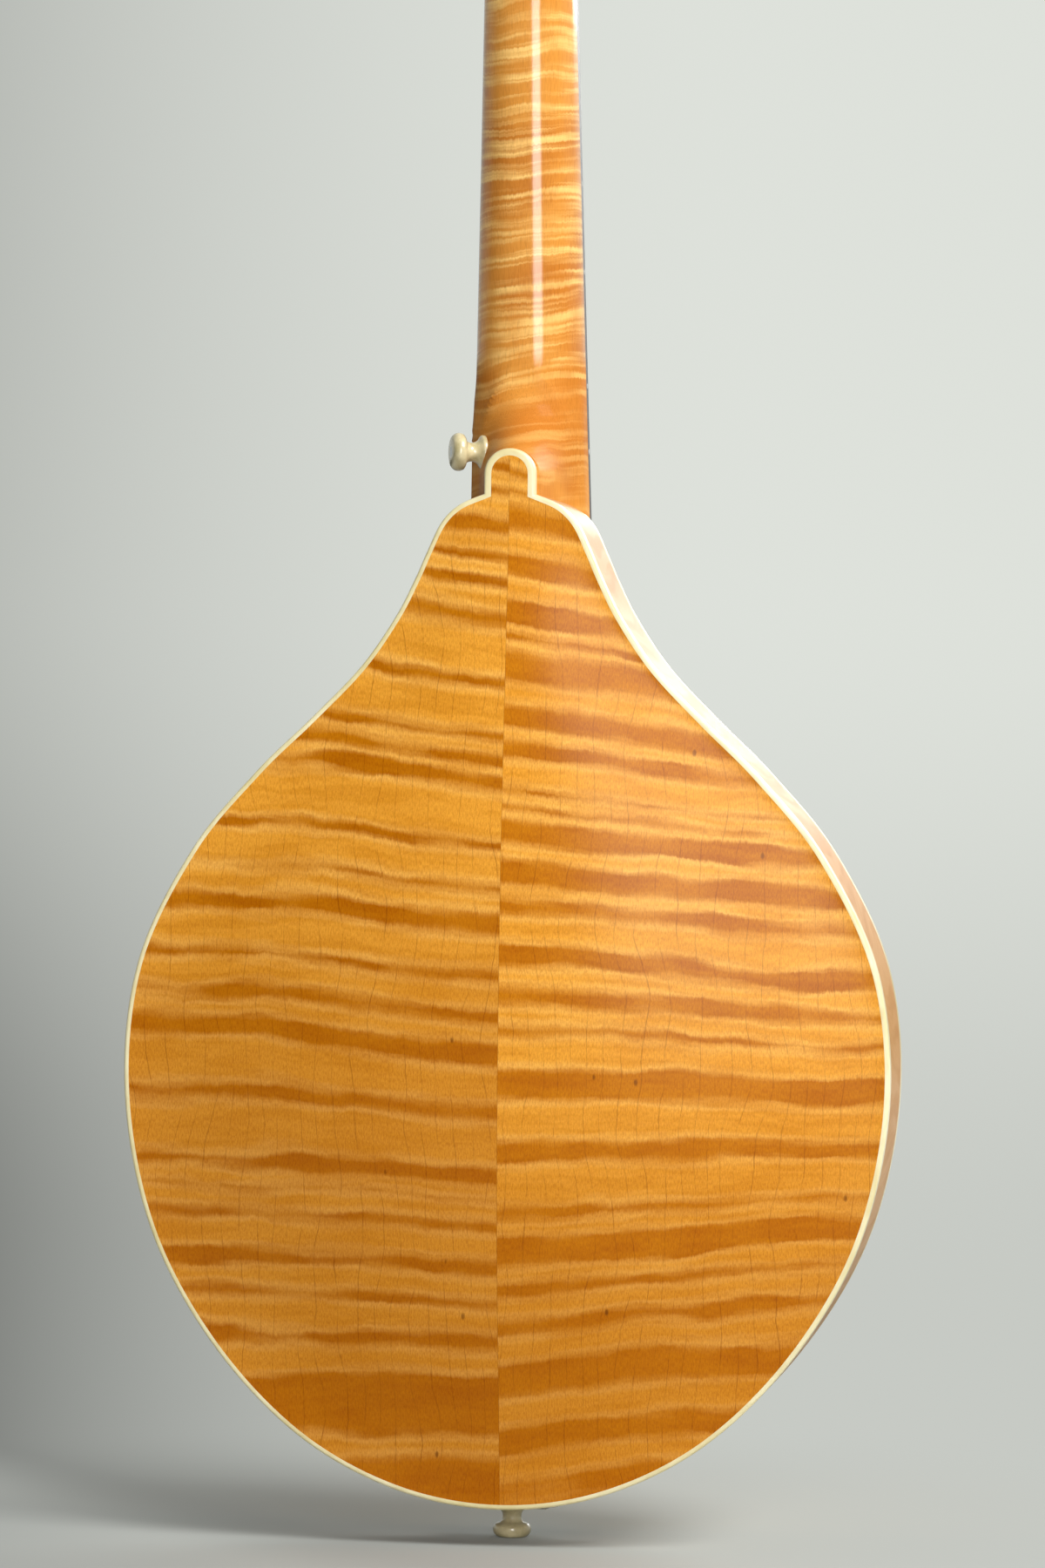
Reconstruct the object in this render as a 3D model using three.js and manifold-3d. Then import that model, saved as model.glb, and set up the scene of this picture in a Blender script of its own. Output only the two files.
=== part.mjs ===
// An A-style mandolin with a carved two-piece maple back, a carved spruce top with an oval soundhole,
// a glued-in maple neck, eight strings in four courses and worm-geared tuners.
//
// Millimetres. The origin is the middle of the nut's lower edge on the fingerboard's face. +Z runs up the
// body's rim plane towards the peghead, +X is the treble side and -Y is the front, where the strings are.
// The body's rim planes are upright, the neck leans back from them and the peghead leans back from the neck.

import * as THREE from "three";
import { mergeVertices } from "three/addons/utils/BufferGeometryUtils.js";
import Module from "manifold-3d";

const wasm = await Module();
wasm.setup();

// Scale and neck
const scaleLength = 352;
const jointFret = 14;
const lastFret = 20;
const neckAngleDegrees = 5;
const pegheadAngleDegrees = 14;
const nutWidth = 30;
const jointWidth = 39.6;
const boardThickness = 5;
const boardOverhang = 4.5;
const boardRise = 13;
const fretWidth = 2;
const fretCrownWidth = 0.9;
const fretHeight = 1;
const fretTang = 0.6;
const fretInset = 0.3;
const shaftDepthAtNut = 15;
const shaftDepthAtHeel = 17.5;

// Body
const bodyWidth = 257;
const shoulderHeight = 337;
const buttonHeight = 15.2;
const buttonWidth = 17;
const jointBelowShoulder = 8.5;
const rimDepth = 46;
const bindingWidth = 1.7;
const buttonBindingWidth = 2.4;
const edgeThickness = 5;
const ribThickness = 2.2;
const topArch = 14;
const backArch = 14;
const topThickness = 4;
const backThickness = 4.2;
const blockHeight = 36;
const blockWidth = 62;
const tailBlockHeight = 16;
const tailBlockWidth = 58;
const liningWidth = 5;
const liningDepth = 7;
const toneBarWidth = 6;
const toneBarDepth = 9;
const toneBarLength = 180;
const toneBarOffset = 37;
const toneBarFoot = 66;
const toneBarSag = 0.5;
const soundholeWidth = 58;
const soundholeHeight = 41;
const soundholeBinding = 1.6;
const soundholeCentre = 236;

// Heel and its joint with the body
const heelCove = 24;
const shaftRoundShare = 2.1;
const heelTaperShare = 1.1;
const heelNoseShare = 0.55;
const heelBlendShare = 12;
const tenonWidth = 17;
const tenonLength = 14;
const tongueEnd = 42;
const tongueInset = 1.2;

// Peghead
const pegheadLength = 138;
const pegheadWidth = 60;
const pegheadThickness = 13;
const throatLength = 17;
const throatRise = 1.6;
const headplateThickness = 2;
const headplateDrop = 3;
const nutThickness = 5;
const nutHeight = 1.6;
const trussRodRadius = 2;
const trussChannelWidth = 4.6;
const trussChannelDepth = 7;
const trussRodShortOfJoint = 10.2;
const trussNutRadius = 3.8;
const trussNutLength = 8;
const trussPocketWidth = 8.6;
const trussPocketLength = 14;
const trussPocketDepth = 9;
const coverWidth = 20;
const coverLength = 27;
const coverThickness = 1.4;

// Tuners
const tunerSpacing = 23.5;
const firstTuner = 34;
const tunerOffset = 18;
const postRadius = 3;
const postHeight = 12;
const postChamfer = 0.7;
const postHoleRadius = 3.5;
const plateThickness = 1.2;
const plateWidth = 14;
const plateLength = 104;
const gearTeeth = 14;
const gearPitchRadius = 4.6;
const gearTipRadius = 5.1;
const gearRootRadius = 3.95;
const gearThickness = 3;
const gearStandoff = 0.9;
const gearToothTip = 0.5;
const gearToothRoot = 0.95;
const gearScrewRadius = 2.2;
const gearScrewHeight = 1.1;
const wormPitchRadius = 1.95;
const wormTipRadius = 2.4;
const wormRootRadius = 1.25;
const wormTurns = 2;
const wormCrest = 0.42;
const wormFoot = 1.05;
const lugOffset = 5.5;
const lugThickness = 1.4;
const lugHalfHeight = 2.8;
const lugBoreRadius = 1.5;
const lugReach = 5.2;
const knobStart = 33;
const knobLength = 15;
const knobWidth = 16;
const knobThicknessShare = 0.45;

// Strap pins
const pinFlangeRadius = 5.7;
const pinWaistRadius = 3.15;
const pinHeadRadius = 6.4;
const pinLength = 11.4;
const pinHeadLength = 5;
const pinShankRadius = 3.4;
const pinShankTipRadius = 2.7;
const pinShankLength = 15;
const pinSeatMargin = 0.5;
const heelPinTiltDegrees = 21;
const heelPinAboveShoulder = 14.6;
const heelPinFromRim = 31;
const heelPinReach = 13.2;

// Bridge
const bridgeLength = 112;
const bridgeWidth = 10;
const bridgeMiddle = 5.6;
const bridgeTip = 2.6;
const saddleLength = 70;
const saddleThickness = 6;
const saddleCrest = 2.6;
const bridgePostOffset = 24;
const bridgePostRadius = 1.9;
const bridgePostSeat = 4;
const wheelRadius = 6.2;
const wheelThickness = 2.4;
const saddleLowering = 1;
const wheelClearance = 0.5;
const saddleSocket = 4.6;
const intonation = 2;

// Tailpiece
const tailpieceWidth = 34;
const leafDepth = 26;
const sheetThickness = 1.2;
const bendHeight = 9;
const bendRise = 5;
const leafRise = 1;
const plateRun = 69;
const plateRise = 8.8;
const hookPitch = 4.3;
const hookWidth = 1.8;
const hookLength = 1.4;
const hookHeight = 4;
const hookRow = 26;
const tailCoverStart = 6;
const tailCoverLength = 66;
const tailCoverWall = 1;
const tailCoverHeight = 8;
const tailCoverSkirt = 2;
const tailCoverChamfer = 3;
const tailScrewOffset = 11;
const tailScrewDepth = 21;
const tailPinDepth = 16;
const tailScrewRadius = 1.4;
const tailScrewHeadRadius = 3;
const tailScrewHeadHeight = 1.5;
const tailScrewLength = 12;
const tailScrewPoint = 1;

// Strings
const courseSpacingAtNut = 7.7;
const pairSpacingAtNut = 2.4;
const courseSpacingAtSaddle = 11.8;
const pairSpacingAtSaddle = 2.8;
const stringRadii = [0.5, 0.5, 0.33, 0.33, 0.19, 0.19, 0.14, 0.14];
const actionAtNut = 0.3;
const actionAtOctave = 1.7;
const windingTurns = 3;
const windingGap = 0.45;
const windingStart = 3.6;

// Clearances
const glue = 0.1;
const seat = 0.3;
const running = 0.3;
const overrun = 5;

// Carving and outline, as shares of the sizes that they follow
const outlineShares = [
  [0.274, 0.017],
  [0.535, 0.069],
  [0.763, 0.158],
  [0.928, 0.271],
  [0.999, 0.405],
  [0.967, 0.534],
  [0.827, 0.646],
  [0.659, 0.724],
  [0.514, 0.778],
  [0.385, 0.829],
  [0.296, 0.878],
  [0.245, 0.916],
  [0.214, 0.943],
  [0.178, 0.9715],
  [0.132, 0.989],
];
const crownHeightShare = 0.423;
const archFullnessShare = 2.2;
const archRecurveShare = 1.6;
const edgeFlareShare = 4;
const outlineSteps = 32;
const carvingColumnShares = [0, 0.35, 0.65, 0.88, 1];
const toneBarEndShare = 0.6;
const pinFlangeShares = [
  [1, 0.14],
  [0.72, 0.34],
];
const pinWaistShares = [
  [1, 0.72],
  [1.25, 1],
];
const pinHeadShares = [
  [0.86, 0.12],
  [1, 0.45],
  [0.9, 0.84],
  [0.62, 1],
];
const bridgeSlopeShare = 0.45;
const bridgeCrestShare = 0.8;
const saddleFlatShare = 0.9;
const saddleEndShare = 0.72;
const saddleShoulderShare = 0.55;
const screwCrownShare = 0.7;
const wormBuriedShare = 0.75;
const cutterGrowShare = 1.5;
const throatShares = [1.04, 0.8, 0.6, 0.4];
const throatFlatShare = 9;
const pegheadShares = [
  [0.55, 0.03],
  [0.7, 0.12],
  [0.93, 0.21],
  [1, 0.33],
  [0.95, 0.58],
  [0.91, 0.83],
  [0.95, 0.915],
  [0.8, 0.955],
  [0.4, 0.975],
  [0, 1],
];

const radians = THREE.MathUtils.degToRad;
const neckAngle = radians(neckAngleDegrees);
const pegheadAngle = radians(pegheadAngleDegrees);
const fretDistance = (n) => scaleLength * (1 - 2 ** (-n / 12));
const jointDistance = fretDistance(jointFret);

// Solids: booleans between closed meshes

function solid(geometry) {
  const bare = new THREE.BufferGeometry();
  bare.setAttribute("position", geometry.getAttribute("position").clone());
  if (geometry.index) bare.setIndex(geometry.index.clone());
  const merged = mergeVertices(bare, 1e-4);
  const triangles = [];
  const index = merged.index.array;
  for (let i = 0; i < index.length; i += 3) {
    const [a, b, c] = index.slice(i, i + 3);
    if (a !== b && b !== c && c !== a) triangles.push(a, b, c);
  }
  return new wasm.Manifold(
    new wasm.Mesh({
      numProp: 3,
      vertProperties: new Float32Array(merged.attributes.position.array),
      triVerts: new Uint32Array(triangles),
    }),
  );
}

function geometryOf(manifold) {
  const mesh = manifold.getMesh();
  const geometry = new THREE.BufferGeometry();
  geometry.setAttribute("position", new THREE.BufferAttribute(mesh.vertProperties, 3));
  geometry.setIndex(new THREE.BufferAttribute(mesh.triVerts, 1));
  return geometry;
}

function join(...geometries) {
  return geometryOf(geometries.map(solid).reduce((a, b) => a.add(b)));
}

function cut(geometry, ...tools) {
  return geometryOf(tools.map(solid).reduce((a, b) => a.subtract(b), solid(geometry)));
}

function common(a, b) {
  return geometryOf(solid(a).intersect(solid(b)));
}

function box(x0, x1, y0, y1, z0, z1) {
  const geometry = new THREE.BoxGeometry(x1 - x0, y1 - y0, z1 - z0);
  return geometry.translate((x0 + x1) / 2, (y0 + y1) / 2, (z0 + z1) / 2);
}

function rod(radius, y0, y1, sides) {
  const geometry = new THREE.CylinderGeometry(radius, radius, y1 - y0, sides);
  return geometry.translate(0, (y0 + y1) / 2, 0);
}

// A slab with an outline in X and Z, from the plane y0 back to the plane y1.
function slab(points, y0, y1) {
  const shape = new THREE.Shape(points.map(([x, z]) => new THREE.Vector2(x, z)));
  const geometry = new THREE.ExtrudeGeometry(shape, { depth: y1 - y0, bevelEnabled: false });
  return geometry.rotateX(Math.PI / 2).translate(0, y1, 0);
}

// A bar with a section in Y and Z, from x0 across to x1.
function bar(points, x0, x1) {
  const shape = new THREE.Shape(points.map(([y, z]) => new THREE.Vector2(y, z)));
  const geometry = new THREE.ExtrudeGeometry(shape, { depth: x1 - x0, bevelEnabled: false });
  const turn = new THREE.Matrix4().makeBasis(
    new THREE.Vector3(0, 1, 0),
    new THREE.Vector3(0, 0, 1),
    new THREE.Vector3(1, 0, 0),
  );
  return geometry.applyMatrix4(turn).translate(x0, 0, 0);
}

// A closed body through rings of points, each ring with as many points as the next, flat at both ends.
function loft(rings) {
  const count = rings[0].length;
  const positions = rings.flat().flatMap((p) => [p.x, p.y, p.z]);
  const index = [];
  for (let r = 0; r + 1 < rings.length; r++)
    for (let i = 0; i < count; i++) {
      const a = r * count + i;
      const b = r * count + ((i + 1) % count);
      index.push(a, b, b + count, a, b + count, a + count);
    }
  const last = (rings.length - 1) * count;
  for (const [start, flip] of [[0, true], [last, false]]) {
    const flat = ringAsFlat(rings[start / count]);
    for (const [a, b, c] of THREE.ShapeUtils.triangulateShape(flat, []))
      index.push(start + a, start + (flip ? c : b), start + (flip ? b : c));
  }
  const geometry = new THREE.BufferGeometry();
  geometry.setAttribute("position", new THREE.Float32BufferAttribute(positions, 3));
  geometry.setIndex(index);
  return facingOut(geometry);
}

// A planar ring's points in its own plane, turning the way that the ring turns about its normal.
function ringAsFlat(ring) {
  const normal = new THREE.Vector3();
  ring.forEach((p, i) => normal.add(new THREE.Vector3().crossVectors(p, ring[(i + 1) % ring.length])));
  const across = new THREE.Vector3().subVectors(ring[1], ring[0]).normalize();
  const up = new THREE.Vector3().crossVectors(normal.normalize(), across);
  return ring.map((p) => new THREE.Vector2(p.dot(across), p.dot(up)));
}

function facingOut(geometry) {
  const volume = (() => {
    const p = geometry.getAttribute("position");
    const at = (i) => new THREE.Vector3().fromBufferAttribute(p, geometry.index.getX(i));
    let sum = 0;
    for (let i = 0; i < geometry.index.count; i += 3) sum += at(i).dot(at(i + 1).cross(at(i + 2)));
    return sum;
  })();
  if (volume < 0) turnInsideOut(geometry);
  return geometry;
}

function turnInsideOut(geometry) {
  const index = geometry.index.array;
  for (let i = 0; i < index.length; i += 3) [index[i + 1], index[i + 2]] = [index[i + 2], index[i + 1]];
}

function mirrored(geometry) {
  const copy = geometry.clone();
  if (!copy.index) copy.setIndex([...Array(copy.getAttribute("position").count).keys()]);
  copy.scale(-1, 1, 1);
  turnInsideOut(copy);
  return copy;
}

// A lathe body about the Y axis from [radius, y] pairs that start and end on the axis.
function turned(profile, sides) {
  const points = profile.map(([r, y]) => new THREE.Vector2(r, y));
  const geometry = new THREE.LatheGeometry(points, sides);
  geometry.setIndex([...geometry.index.array]);
  return facingOut(geometry);
}

// A round tube through points, closed flat at both ends.
function tube(points, radius, sides) {
  const rings = [];
  let normal = new THREE.Vector3(0, 1, 0);
  points.forEach((p, i) => {
    const before = points[Math.max(i - 1, 0)];
    const after = points[Math.min(i + 1, points.length - 1)];
    const along = new THREE.Vector3().subVectors(after, before).normalize();
    normal = normal.clone().addScaledVector(along, -normal.dot(along)).normalize();
    const side = new THREE.Vector3().crossVectors(along, normal);
    rings.push(
      Array.from({ length: sides }, (_, k) => {
        const angle = (2 * Math.PI * k) / sides;
        const out = normal.clone().multiplyScalar(Math.cos(angle)).addScaledVector(side, Math.sin(angle));
        return p.clone().addScaledVector(out, radius);
      }),
    );
  });
  return loft(rings);
}

// Body outline: heights run up from the tail, and the treble half is traced from the tail to the shoulder

const outlineCurve = (() => {
  const half = [
    ...outlineShares.map(([x, z]) => [(x * bodyWidth) / 2, z * shoulderHeight]),
    [buttonWidth / 2, shoulderHeight],
  ];
  const mirror = half.map(([x, z]) => [-x, z]).reverse();
  return new THREE.SplineCurve([...mirror, [0, 0], ...half].map(([x, z]) => new THREE.Vector2(x, z)));
})();

const halfOutline = Array.from({ length: outlineSteps + 1 }, (_, k) =>
  outlineCurve.getPoint(0.5 + (0.5 * k) / outlineSteps),
);
halfOutline[0].set(0, 0);
const buttonOutline = (() => {
  const r = buttonWidth / 2;
  const arcSteps = 6;
  return Array.from({ length: arcSteps + 1 }, (_, k) => {
    const angle = (Math.PI / 2) * (k / arcSteps);
    return new THREE.Vector2(r * Math.cos(angle), shoulderHeight + buttonHeight - r + r * Math.sin(angle));
  });
})();
buttonOutline.at(-1).setX(0);

// A half outline moved in by a distance, and by another one round the button, mitred at each point.
function inset(points, distance, buttonDistance = distance) {
  const mirrorOf = (p) => new THREE.Vector2(-p.x, p.y);
  const all = [mirrorOf(points[1]), ...points, mirrorOf(points.at(-2))];
  const sides = all.slice(1).map((b, i) => {
    const a = all[i];
    const away = Math.max(a.y, b.y) > shoulderHeight ? buttonDistance : distance;
    return { normal: new THREE.Vector2(b.y - a.y, a.x - b.x).normalize(), away };
  });
  return points.map((p, i) => {
    const [m, n] = [sides[i].normal, sides[i + 1].normal];
    const [dm, dn] = [sides[i].away, sides[i + 1].away];
    const turn = m.cross(n);
    const straight = Math.abs(turn) < 1e-3;
    const x = straight ? m.x * dm : (dm * n.y - dn * m.y) / turn;
    const y = straight ? m.y * dm : (dn * m.x - dm * n.x) / turn;
    return new THREE.Vector2(p.x ? p.x - x : 0, p.y - y);
  });
}

const backHalf = [...halfOutline, ...buttonOutline];
const topHalf = [...halfOutline, new THREE.Vector2(0, shoulderHeight)];

function wholeRing(half) {
  const treble = half.map((p) => [p.x, p.y]);
  const bass = half.filter((p) => p.x > 0).map((p) => [-p.x, p.y]);
  return [...treble, ...bass.reverse()];
}

// Half the body's width at a height above the tail.
function halfWidthAt(height) {
  for (let k = 1; k < halfOutline.length; k++) {
    const [a, b] = [halfOutline[k - 1], halfOutline[k]];
    if (height <= b.y) return a.x + ((b.x - a.x) * (height - a.y)) / (b.y - a.y);
  }
  return buttonWidth / 2;
}

// Carving: how far the plates swell out of their rim planes

const crownHeight = crownHeightShare * shoulderHeight;
const swell = (t) => (t >= 1 ? 0 : (1 - t ** archFullnessShare) ** archRecurveShare);
const spineSwell = (height) => swell(Math.max(0, height - crownHeight) / (shoulderHeight - crownHeight));
const plateThicknessAt = (t, middle) => middle + (edgeThickness - middle) * t ** edgeFlareShare;

// How far out the point (x, height) lies between the plate's spine, 0, and its edge, 1.
function reachShare(x, height) {
  if (height >= crownHeight) return Math.min(1, Math.abs(x) / (halfWidthAt(height) - bindingWidth));
  let [low, high] = [1e-3, 1];
  for (let i = 0; i < 30; i++) {
    const t = (low + high) / 2;
    const edge = crownHeight - (crownHeight - height) / t;
    const inside = edge > 0 && Math.abs(x) / t < halfWidthAt(edge) - bindingWidth;
    if (inside) high = t;
    else low = t;
  }
  return high;
}

const archAt = (x, height, arch) => arch * spineSwell(height) * swell(reachShare(x, height));

// The treble half of a carved plate. Its outer face swells towards facing, -1 the front or +1 the back.
function carvedHalf(edge, arch, middle, facing, rimPlane, raise = 0, spineTop = Infinity) {
  const columns = carvingColumnShares;
  const vertices = { outer: [], inner: [] };
  for (const p of edge) {
    const spine = Math.min(Math.max(p.y, crownHeight), spineTop);
    columns.forEach((t) => {
      const [x, z] = [p.x * t, spine + (p.y - spine) * t];
      const height = arch * spineSwell(spine) * swell(t) + raise;
      vertices.outer.push([x, rimPlane + facing * height, z]);
      vertices.inner.push([x, rimPlane + facing * (height - plateThicknessAt(t, middle)), z]);
    });
  }
  const rows = edge.length;
  const across = columns.length;
  const index = [];
  const shift = rows * across;
  const quad = (a, b, c, d) => index.push(a, b, c, a, c, d);
  for (let r = 0; r + 1 < rows; r++)
    for (let c = 0; c + 1 < across; c++) {
      const a = r * across + c;
      quad(a, a + 1, a + 1 + across, a + across);
      quad(a + shift + across, a + shift + across + 1, a + shift + 1, a + shift);
    }
  const rim = [];
  for (let c = 0; c + 1 < across; c++) rim.push(c);
  for (let r = 0; r + 1 < rows; r++) rim.push(r * across + across - 1);
  for (let c = across - 1; c > 0; c--) rim.push((rows - 1) * across + c);
  for (let r = rows - 1; r > 0; r--) rim.push(r * across);
  rim.forEach((a, i) => {
    const b = rim[(i + 1) % rim.length];
    quad(b, a, a + shift, b + shift);
  });
  const geometry = new THREE.BufferGeometry();
  const positions = [...vertices.outer, ...vertices.inner].flat();
  geometry.setAttribute("position", new THREE.Float32BufferAttribute(positions, 3));
  geometry.setIndex(index);
  return facingOut(geometry);
}

// Materials

const finish = (color, roughness, metalness = 0) =>
  new THREE.MeshStandardMaterial({ color, roughness, metalness });
const flamedMaple = finish(0xd8892c, 0.28);
const neckMaple = finish(0xd48a3a, 0.25);
const spruce = finish(0xe0a95a, 0.3);
const innerWood = finish(0xd9b98a, 0.8);
const ivoroid = finish(0xf1e6c0, 0.35);
const boneWhite = finish(0xe9e2cc, 0.45);
const ebony = finish(0x1b1613, 0.4);
const nickel = finish(0xc9c6bd, 0.25, 1);
const brass = finish(0xc9a24e, 0.35, 1);
const steel = finish(0xb9bcc0, 0.35, 1);
const bronzeWound = finish(0xb98a4e, 0.4, 1);

const groups = {
  mandolin: new THREE.Group(),
  body: new THREE.Group(),
  neck: new THREE.Group(),
  peghead: new THREE.Group(),
};

function add(group, name, geometry, material, position) {
  const mesh = new THREE.Mesh(geometry, material);
  mesh.name = name;
  if (position) mesh.position.copy(position);
  groups[group].add(mesh);
  return mesh;
}

// The neck leans about the origin, and the peghead about the nut's upper edge
groups.neck.rotation.x = -neckAngle;
groups.peghead.position.set(0, headplateDrop, nutThickness);
groups.peghead.rotation.x = -pegheadAngle;
groups.neck.add(groups.peghead);
groups.mandolin.add(groups.body, groups.neck);

const rimTop = -jointDistance * Math.sin(neckAngle) + boardRise;
const rimBack = rimTop + rimDepth;
const tailHeight = -jointDistance * Math.cos(neckAngle) - (shoulderHeight - jointBelowShoulder);
groups.body.position.set(0, 0, tailHeight);
groups.mandolin.updateMatrixWorld(true);

// A body-frame shape as the neck group sees it, and the other way round.
const bodyToNeck = new THREE.Matrix4()
  .copy(groups.neck.matrixWorld)
  .invert()
  .multiply(groups.body.matrixWorld);
const inNeck = (geometry) => geometry.clone().applyMatrix4(bodyToNeck);

// Back: two bookmatched maple halves, whose upper end is the button over the heel

const backEdge = inset(backHalf, bindingWidth + glue, buttonBindingWidth + glue);
const backSpineTop = shoulderHeight + buttonHeight - buttonWidth / 2;
const backHalfPlate = carvedHalf(backEdge, backArch, backThickness, 1, rimBack, 0, backSpineTop);
add("body", "back_plate_treble", backHalfPlate, flamedMaple);
add("body", "back_plate_bass", mirrored(backHalfPlate), flamedMaple);

// Top: two spruce halves with the oval soundhole and its ivoroid lining ring

const topEdge = inset(topHalf, bindingWidth + glue);
const topHalfPlate = carvedHalf(topEdge, topArch, topThickness, -1, rimTop);

function oval(grow) {
  const steps = 32;
  return Array.from({ length: steps }, (_, k) => {
    const angle = (2 * Math.PI * k) / steps;
    const x = (soundholeWidth / 2 + grow) * Math.cos(angle);
    return [x, soundholeCentre + (soundholeHeight / 2 + grow) * Math.sin(angle)];
  });
}
const throughTop = (grow) => slab(oval(grow), rimTop - topArch - overrun, rimTop + edgeThickness);
const holeCutter = throughTop(soundholeBinding + glue);
add("body", "top_plate_treble", cut(topHalfPlate, holeCutter), spruce);
add("body", "top_plate_bass", cut(mirrored(topHalfPlate), holeCutter), spruce);
const wholeTop = join(topHalfPlate, mirrored(topHalfPlate));
const soundholeRing = cut(common(wholeTop, throughTop(soundholeBinding)), throughTop(0));
add("body", "soundhole_binding", soundholeRing, ivoroid);

// Bindings: ivoroid strips let into the plates' edges, flush with the ribs

function bindingStrip(half, y0, y1) {
  const outer = wholeRing(half);
  const inner = wholeRing(inset(half, bindingWidth, buttonBindingWidth));
  return cut(slab(outer, y0, y1), slab(inner, y0 - overrun, y1 + overrun));
}
add("body", "back_binding", bindingStrip(backHalf, rimBack - edgeThickness, rimBack), ivoroid);
add("body", "top_binding", bindingStrip(topHalf, rimTop, rimTop + edgeThickness), ivoroid);

// Ribs, blocks and linings between the plates

const innerTop = rimTop + edgeThickness + glue;
const innerBack = rimBack - edgeThickness - glue;
const tenonHalf = tenonWidth / 2;

const ribRing = cut(
  slab(wholeRing(topHalf), innerTop, innerBack),
  slab(wholeRing(inset(topHalf, ribThickness)), innerTop - overrun, innerBack + overrun),
);
const neckGap = box(
  -tenonHalf - glue,
  tenonHalf + glue,
  innerTop - overrun,
  innerBack + overrun,
  shoulderHeight - blockHeight,
  shoulderHeight + overrun,
);
const trebleSide = box(
  0,
  bodyWidth,
  innerTop - overrun,
  innerBack + overrun,
  -overrun,
  shoulderHeight + overrun,
);

// How far below the tail the tailpiece's leaf has its outer face.
const leafFace = sheetThickness + glue;

const pinShank = (clearance, sides) =>
  turned(
    [
      [0, overrun],
      [pinShankRadius + clearance, overrun],
      [pinShankRadius + clearance, 0],
      [pinShankTipRadius + clearance, -pinShankLength - clearance],
      [0, -pinShankLength - clearance],
    ],
    sides,
  );
const tailPinBore = pinShank(running, 12)
  .rotateX(-Math.PI / 2)
  .translate(0, rimTop + tailPinDepth, -leafFace);
const tailScrewPlace = (side) => [side * tailScrewOffset, rimTop + tailScrewDepth];
const tailScrewBore = (side, clearance) => {
  const [x, y] = tailScrewPlace(side);
  const bore = rod(tailScrewRadius + clearance, -sheetThickness - overrun, tailScrewLength + clearance, 8);
  return bore.rotateX(Math.PI / 2).translate(x, y, 0);
};
const tailBores = [tailPinBore, tailScrewBore(-1, running), tailScrewBore(1, running)];

const trebleRib = cut(common(ribRing, trebleSide), neckGap, ...tailBores);
const bassRib = cut(common(ribRing, mirrored(trebleSide)), neckGap, ...tailBores);
add("body", "rib_treble", trebleRib, flamedMaple);
add("body", "rib_bass", bassRib, flamedMaple);

const insideRibs = slab(wholeRing(inset(topHalf, ribThickness + glue)), innerTop, innerBack);
const neckBlockSpace = box(
  -blockWidth / 2,
  blockWidth / 2,
  innerTop,
  innerBack,
  shoulderHeight - blockHeight,
  shoulderHeight,
);
const tenonTop = shoulderHeight + glue + running;
const tenonFoot = shoulderHeight - ribThickness - tenonLength;
const tenonPocket = box(
  -tenonHalf - glue,
  tenonHalf + glue,
  innerTop - overrun,
  innerBack + overrun,
  tenonFoot - glue,
  shoulderHeight + overrun,
);
add("body", "neck_block", cut(common(insideRibs, neckBlockSpace), tenonPocket), innerWood);

function lining(y0, y1) {
  const ring = cut(
    slab(wholeRing(inset(topHalf, ribThickness + glue)), y0, y1),
    slab(wholeRing(inset(topHalf, ribThickness + glue + liningWidth)), y0 - overrun, y1 + overrun),
  );
  const blockEnd = box(
    -bodyWidth,
    bodyWidth,
    y0 - overrun,
    y1 + overrun,
    shoulderHeight - blockHeight - glue,
    shoulderHeight + overrun,
  );
  return cut(ring, blockEnd);
}
const topLining = lining(innerTop, innerTop + liningDepth);
const backLining = lining(innerBack - liningDepth, innerBack);
add("body", "top_lining", cut(topLining, ...tailBores), innerWood);
add("body", "back_lining", backLining, innerWood);

const tailBlockSpace = box(
  -tailBlockWidth / 2,
  tailBlockWidth / 2,
  innerTop + liningDepth + glue,
  innerBack - liningDepth - glue,
  0,
  ribThickness + tailBlockHeight,
);
add("body", "tail_block", cut(common(insideRibs, tailBlockSpace), ...tailBores), innerWood);

function toneBar(side) {
  const stations = 7;
  const rings = Array.from({ length: stations }, (_, i) => {
    const z = toneBarFoot + (toneBarLength * i) / (stations - 1);
    const [x0, x1] = [toneBarOffset - toneBarWidth / 2, toneBarOffset + toneBarWidth / 2];
    const under = (x) =>
      rimTop - archAt(x, z, topArch) + plateThicknessAt(reachShare(x, z), topThickness) + toneBarSag;
    const y = Math.max(under(x0), under(x1));
    const taper = Math.sin((Math.PI * (i + toneBarEndShare)) / (stations - 1 + 2 * toneBarEndShare));
    const depth = toneBarDepth * taper;
    return [
      [x0, y],
      [x1, y],
      [x1, y + depth],
      [x0, y + depth],
    ].map(([x, py]) => new THREE.Vector3(side * x, py, z));
  });
  return loft(rings);
}
add("body", "tone_bar_bass", toneBar(-1), innerWood);
add("body", "tone_bar_treble", toneBar(1), innerWood);

// Fingerboard with its frets, on the neck's flat face

const neckFace = boardThickness + glue;
const boardHalfAt = (distance) =>
  nutWidth / 2 + ((jointWidth - nutWidth) / 2) * (distance / jointDistance);
const boardEnd = fretDistance(lastFret) + boardOverhang;

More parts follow.
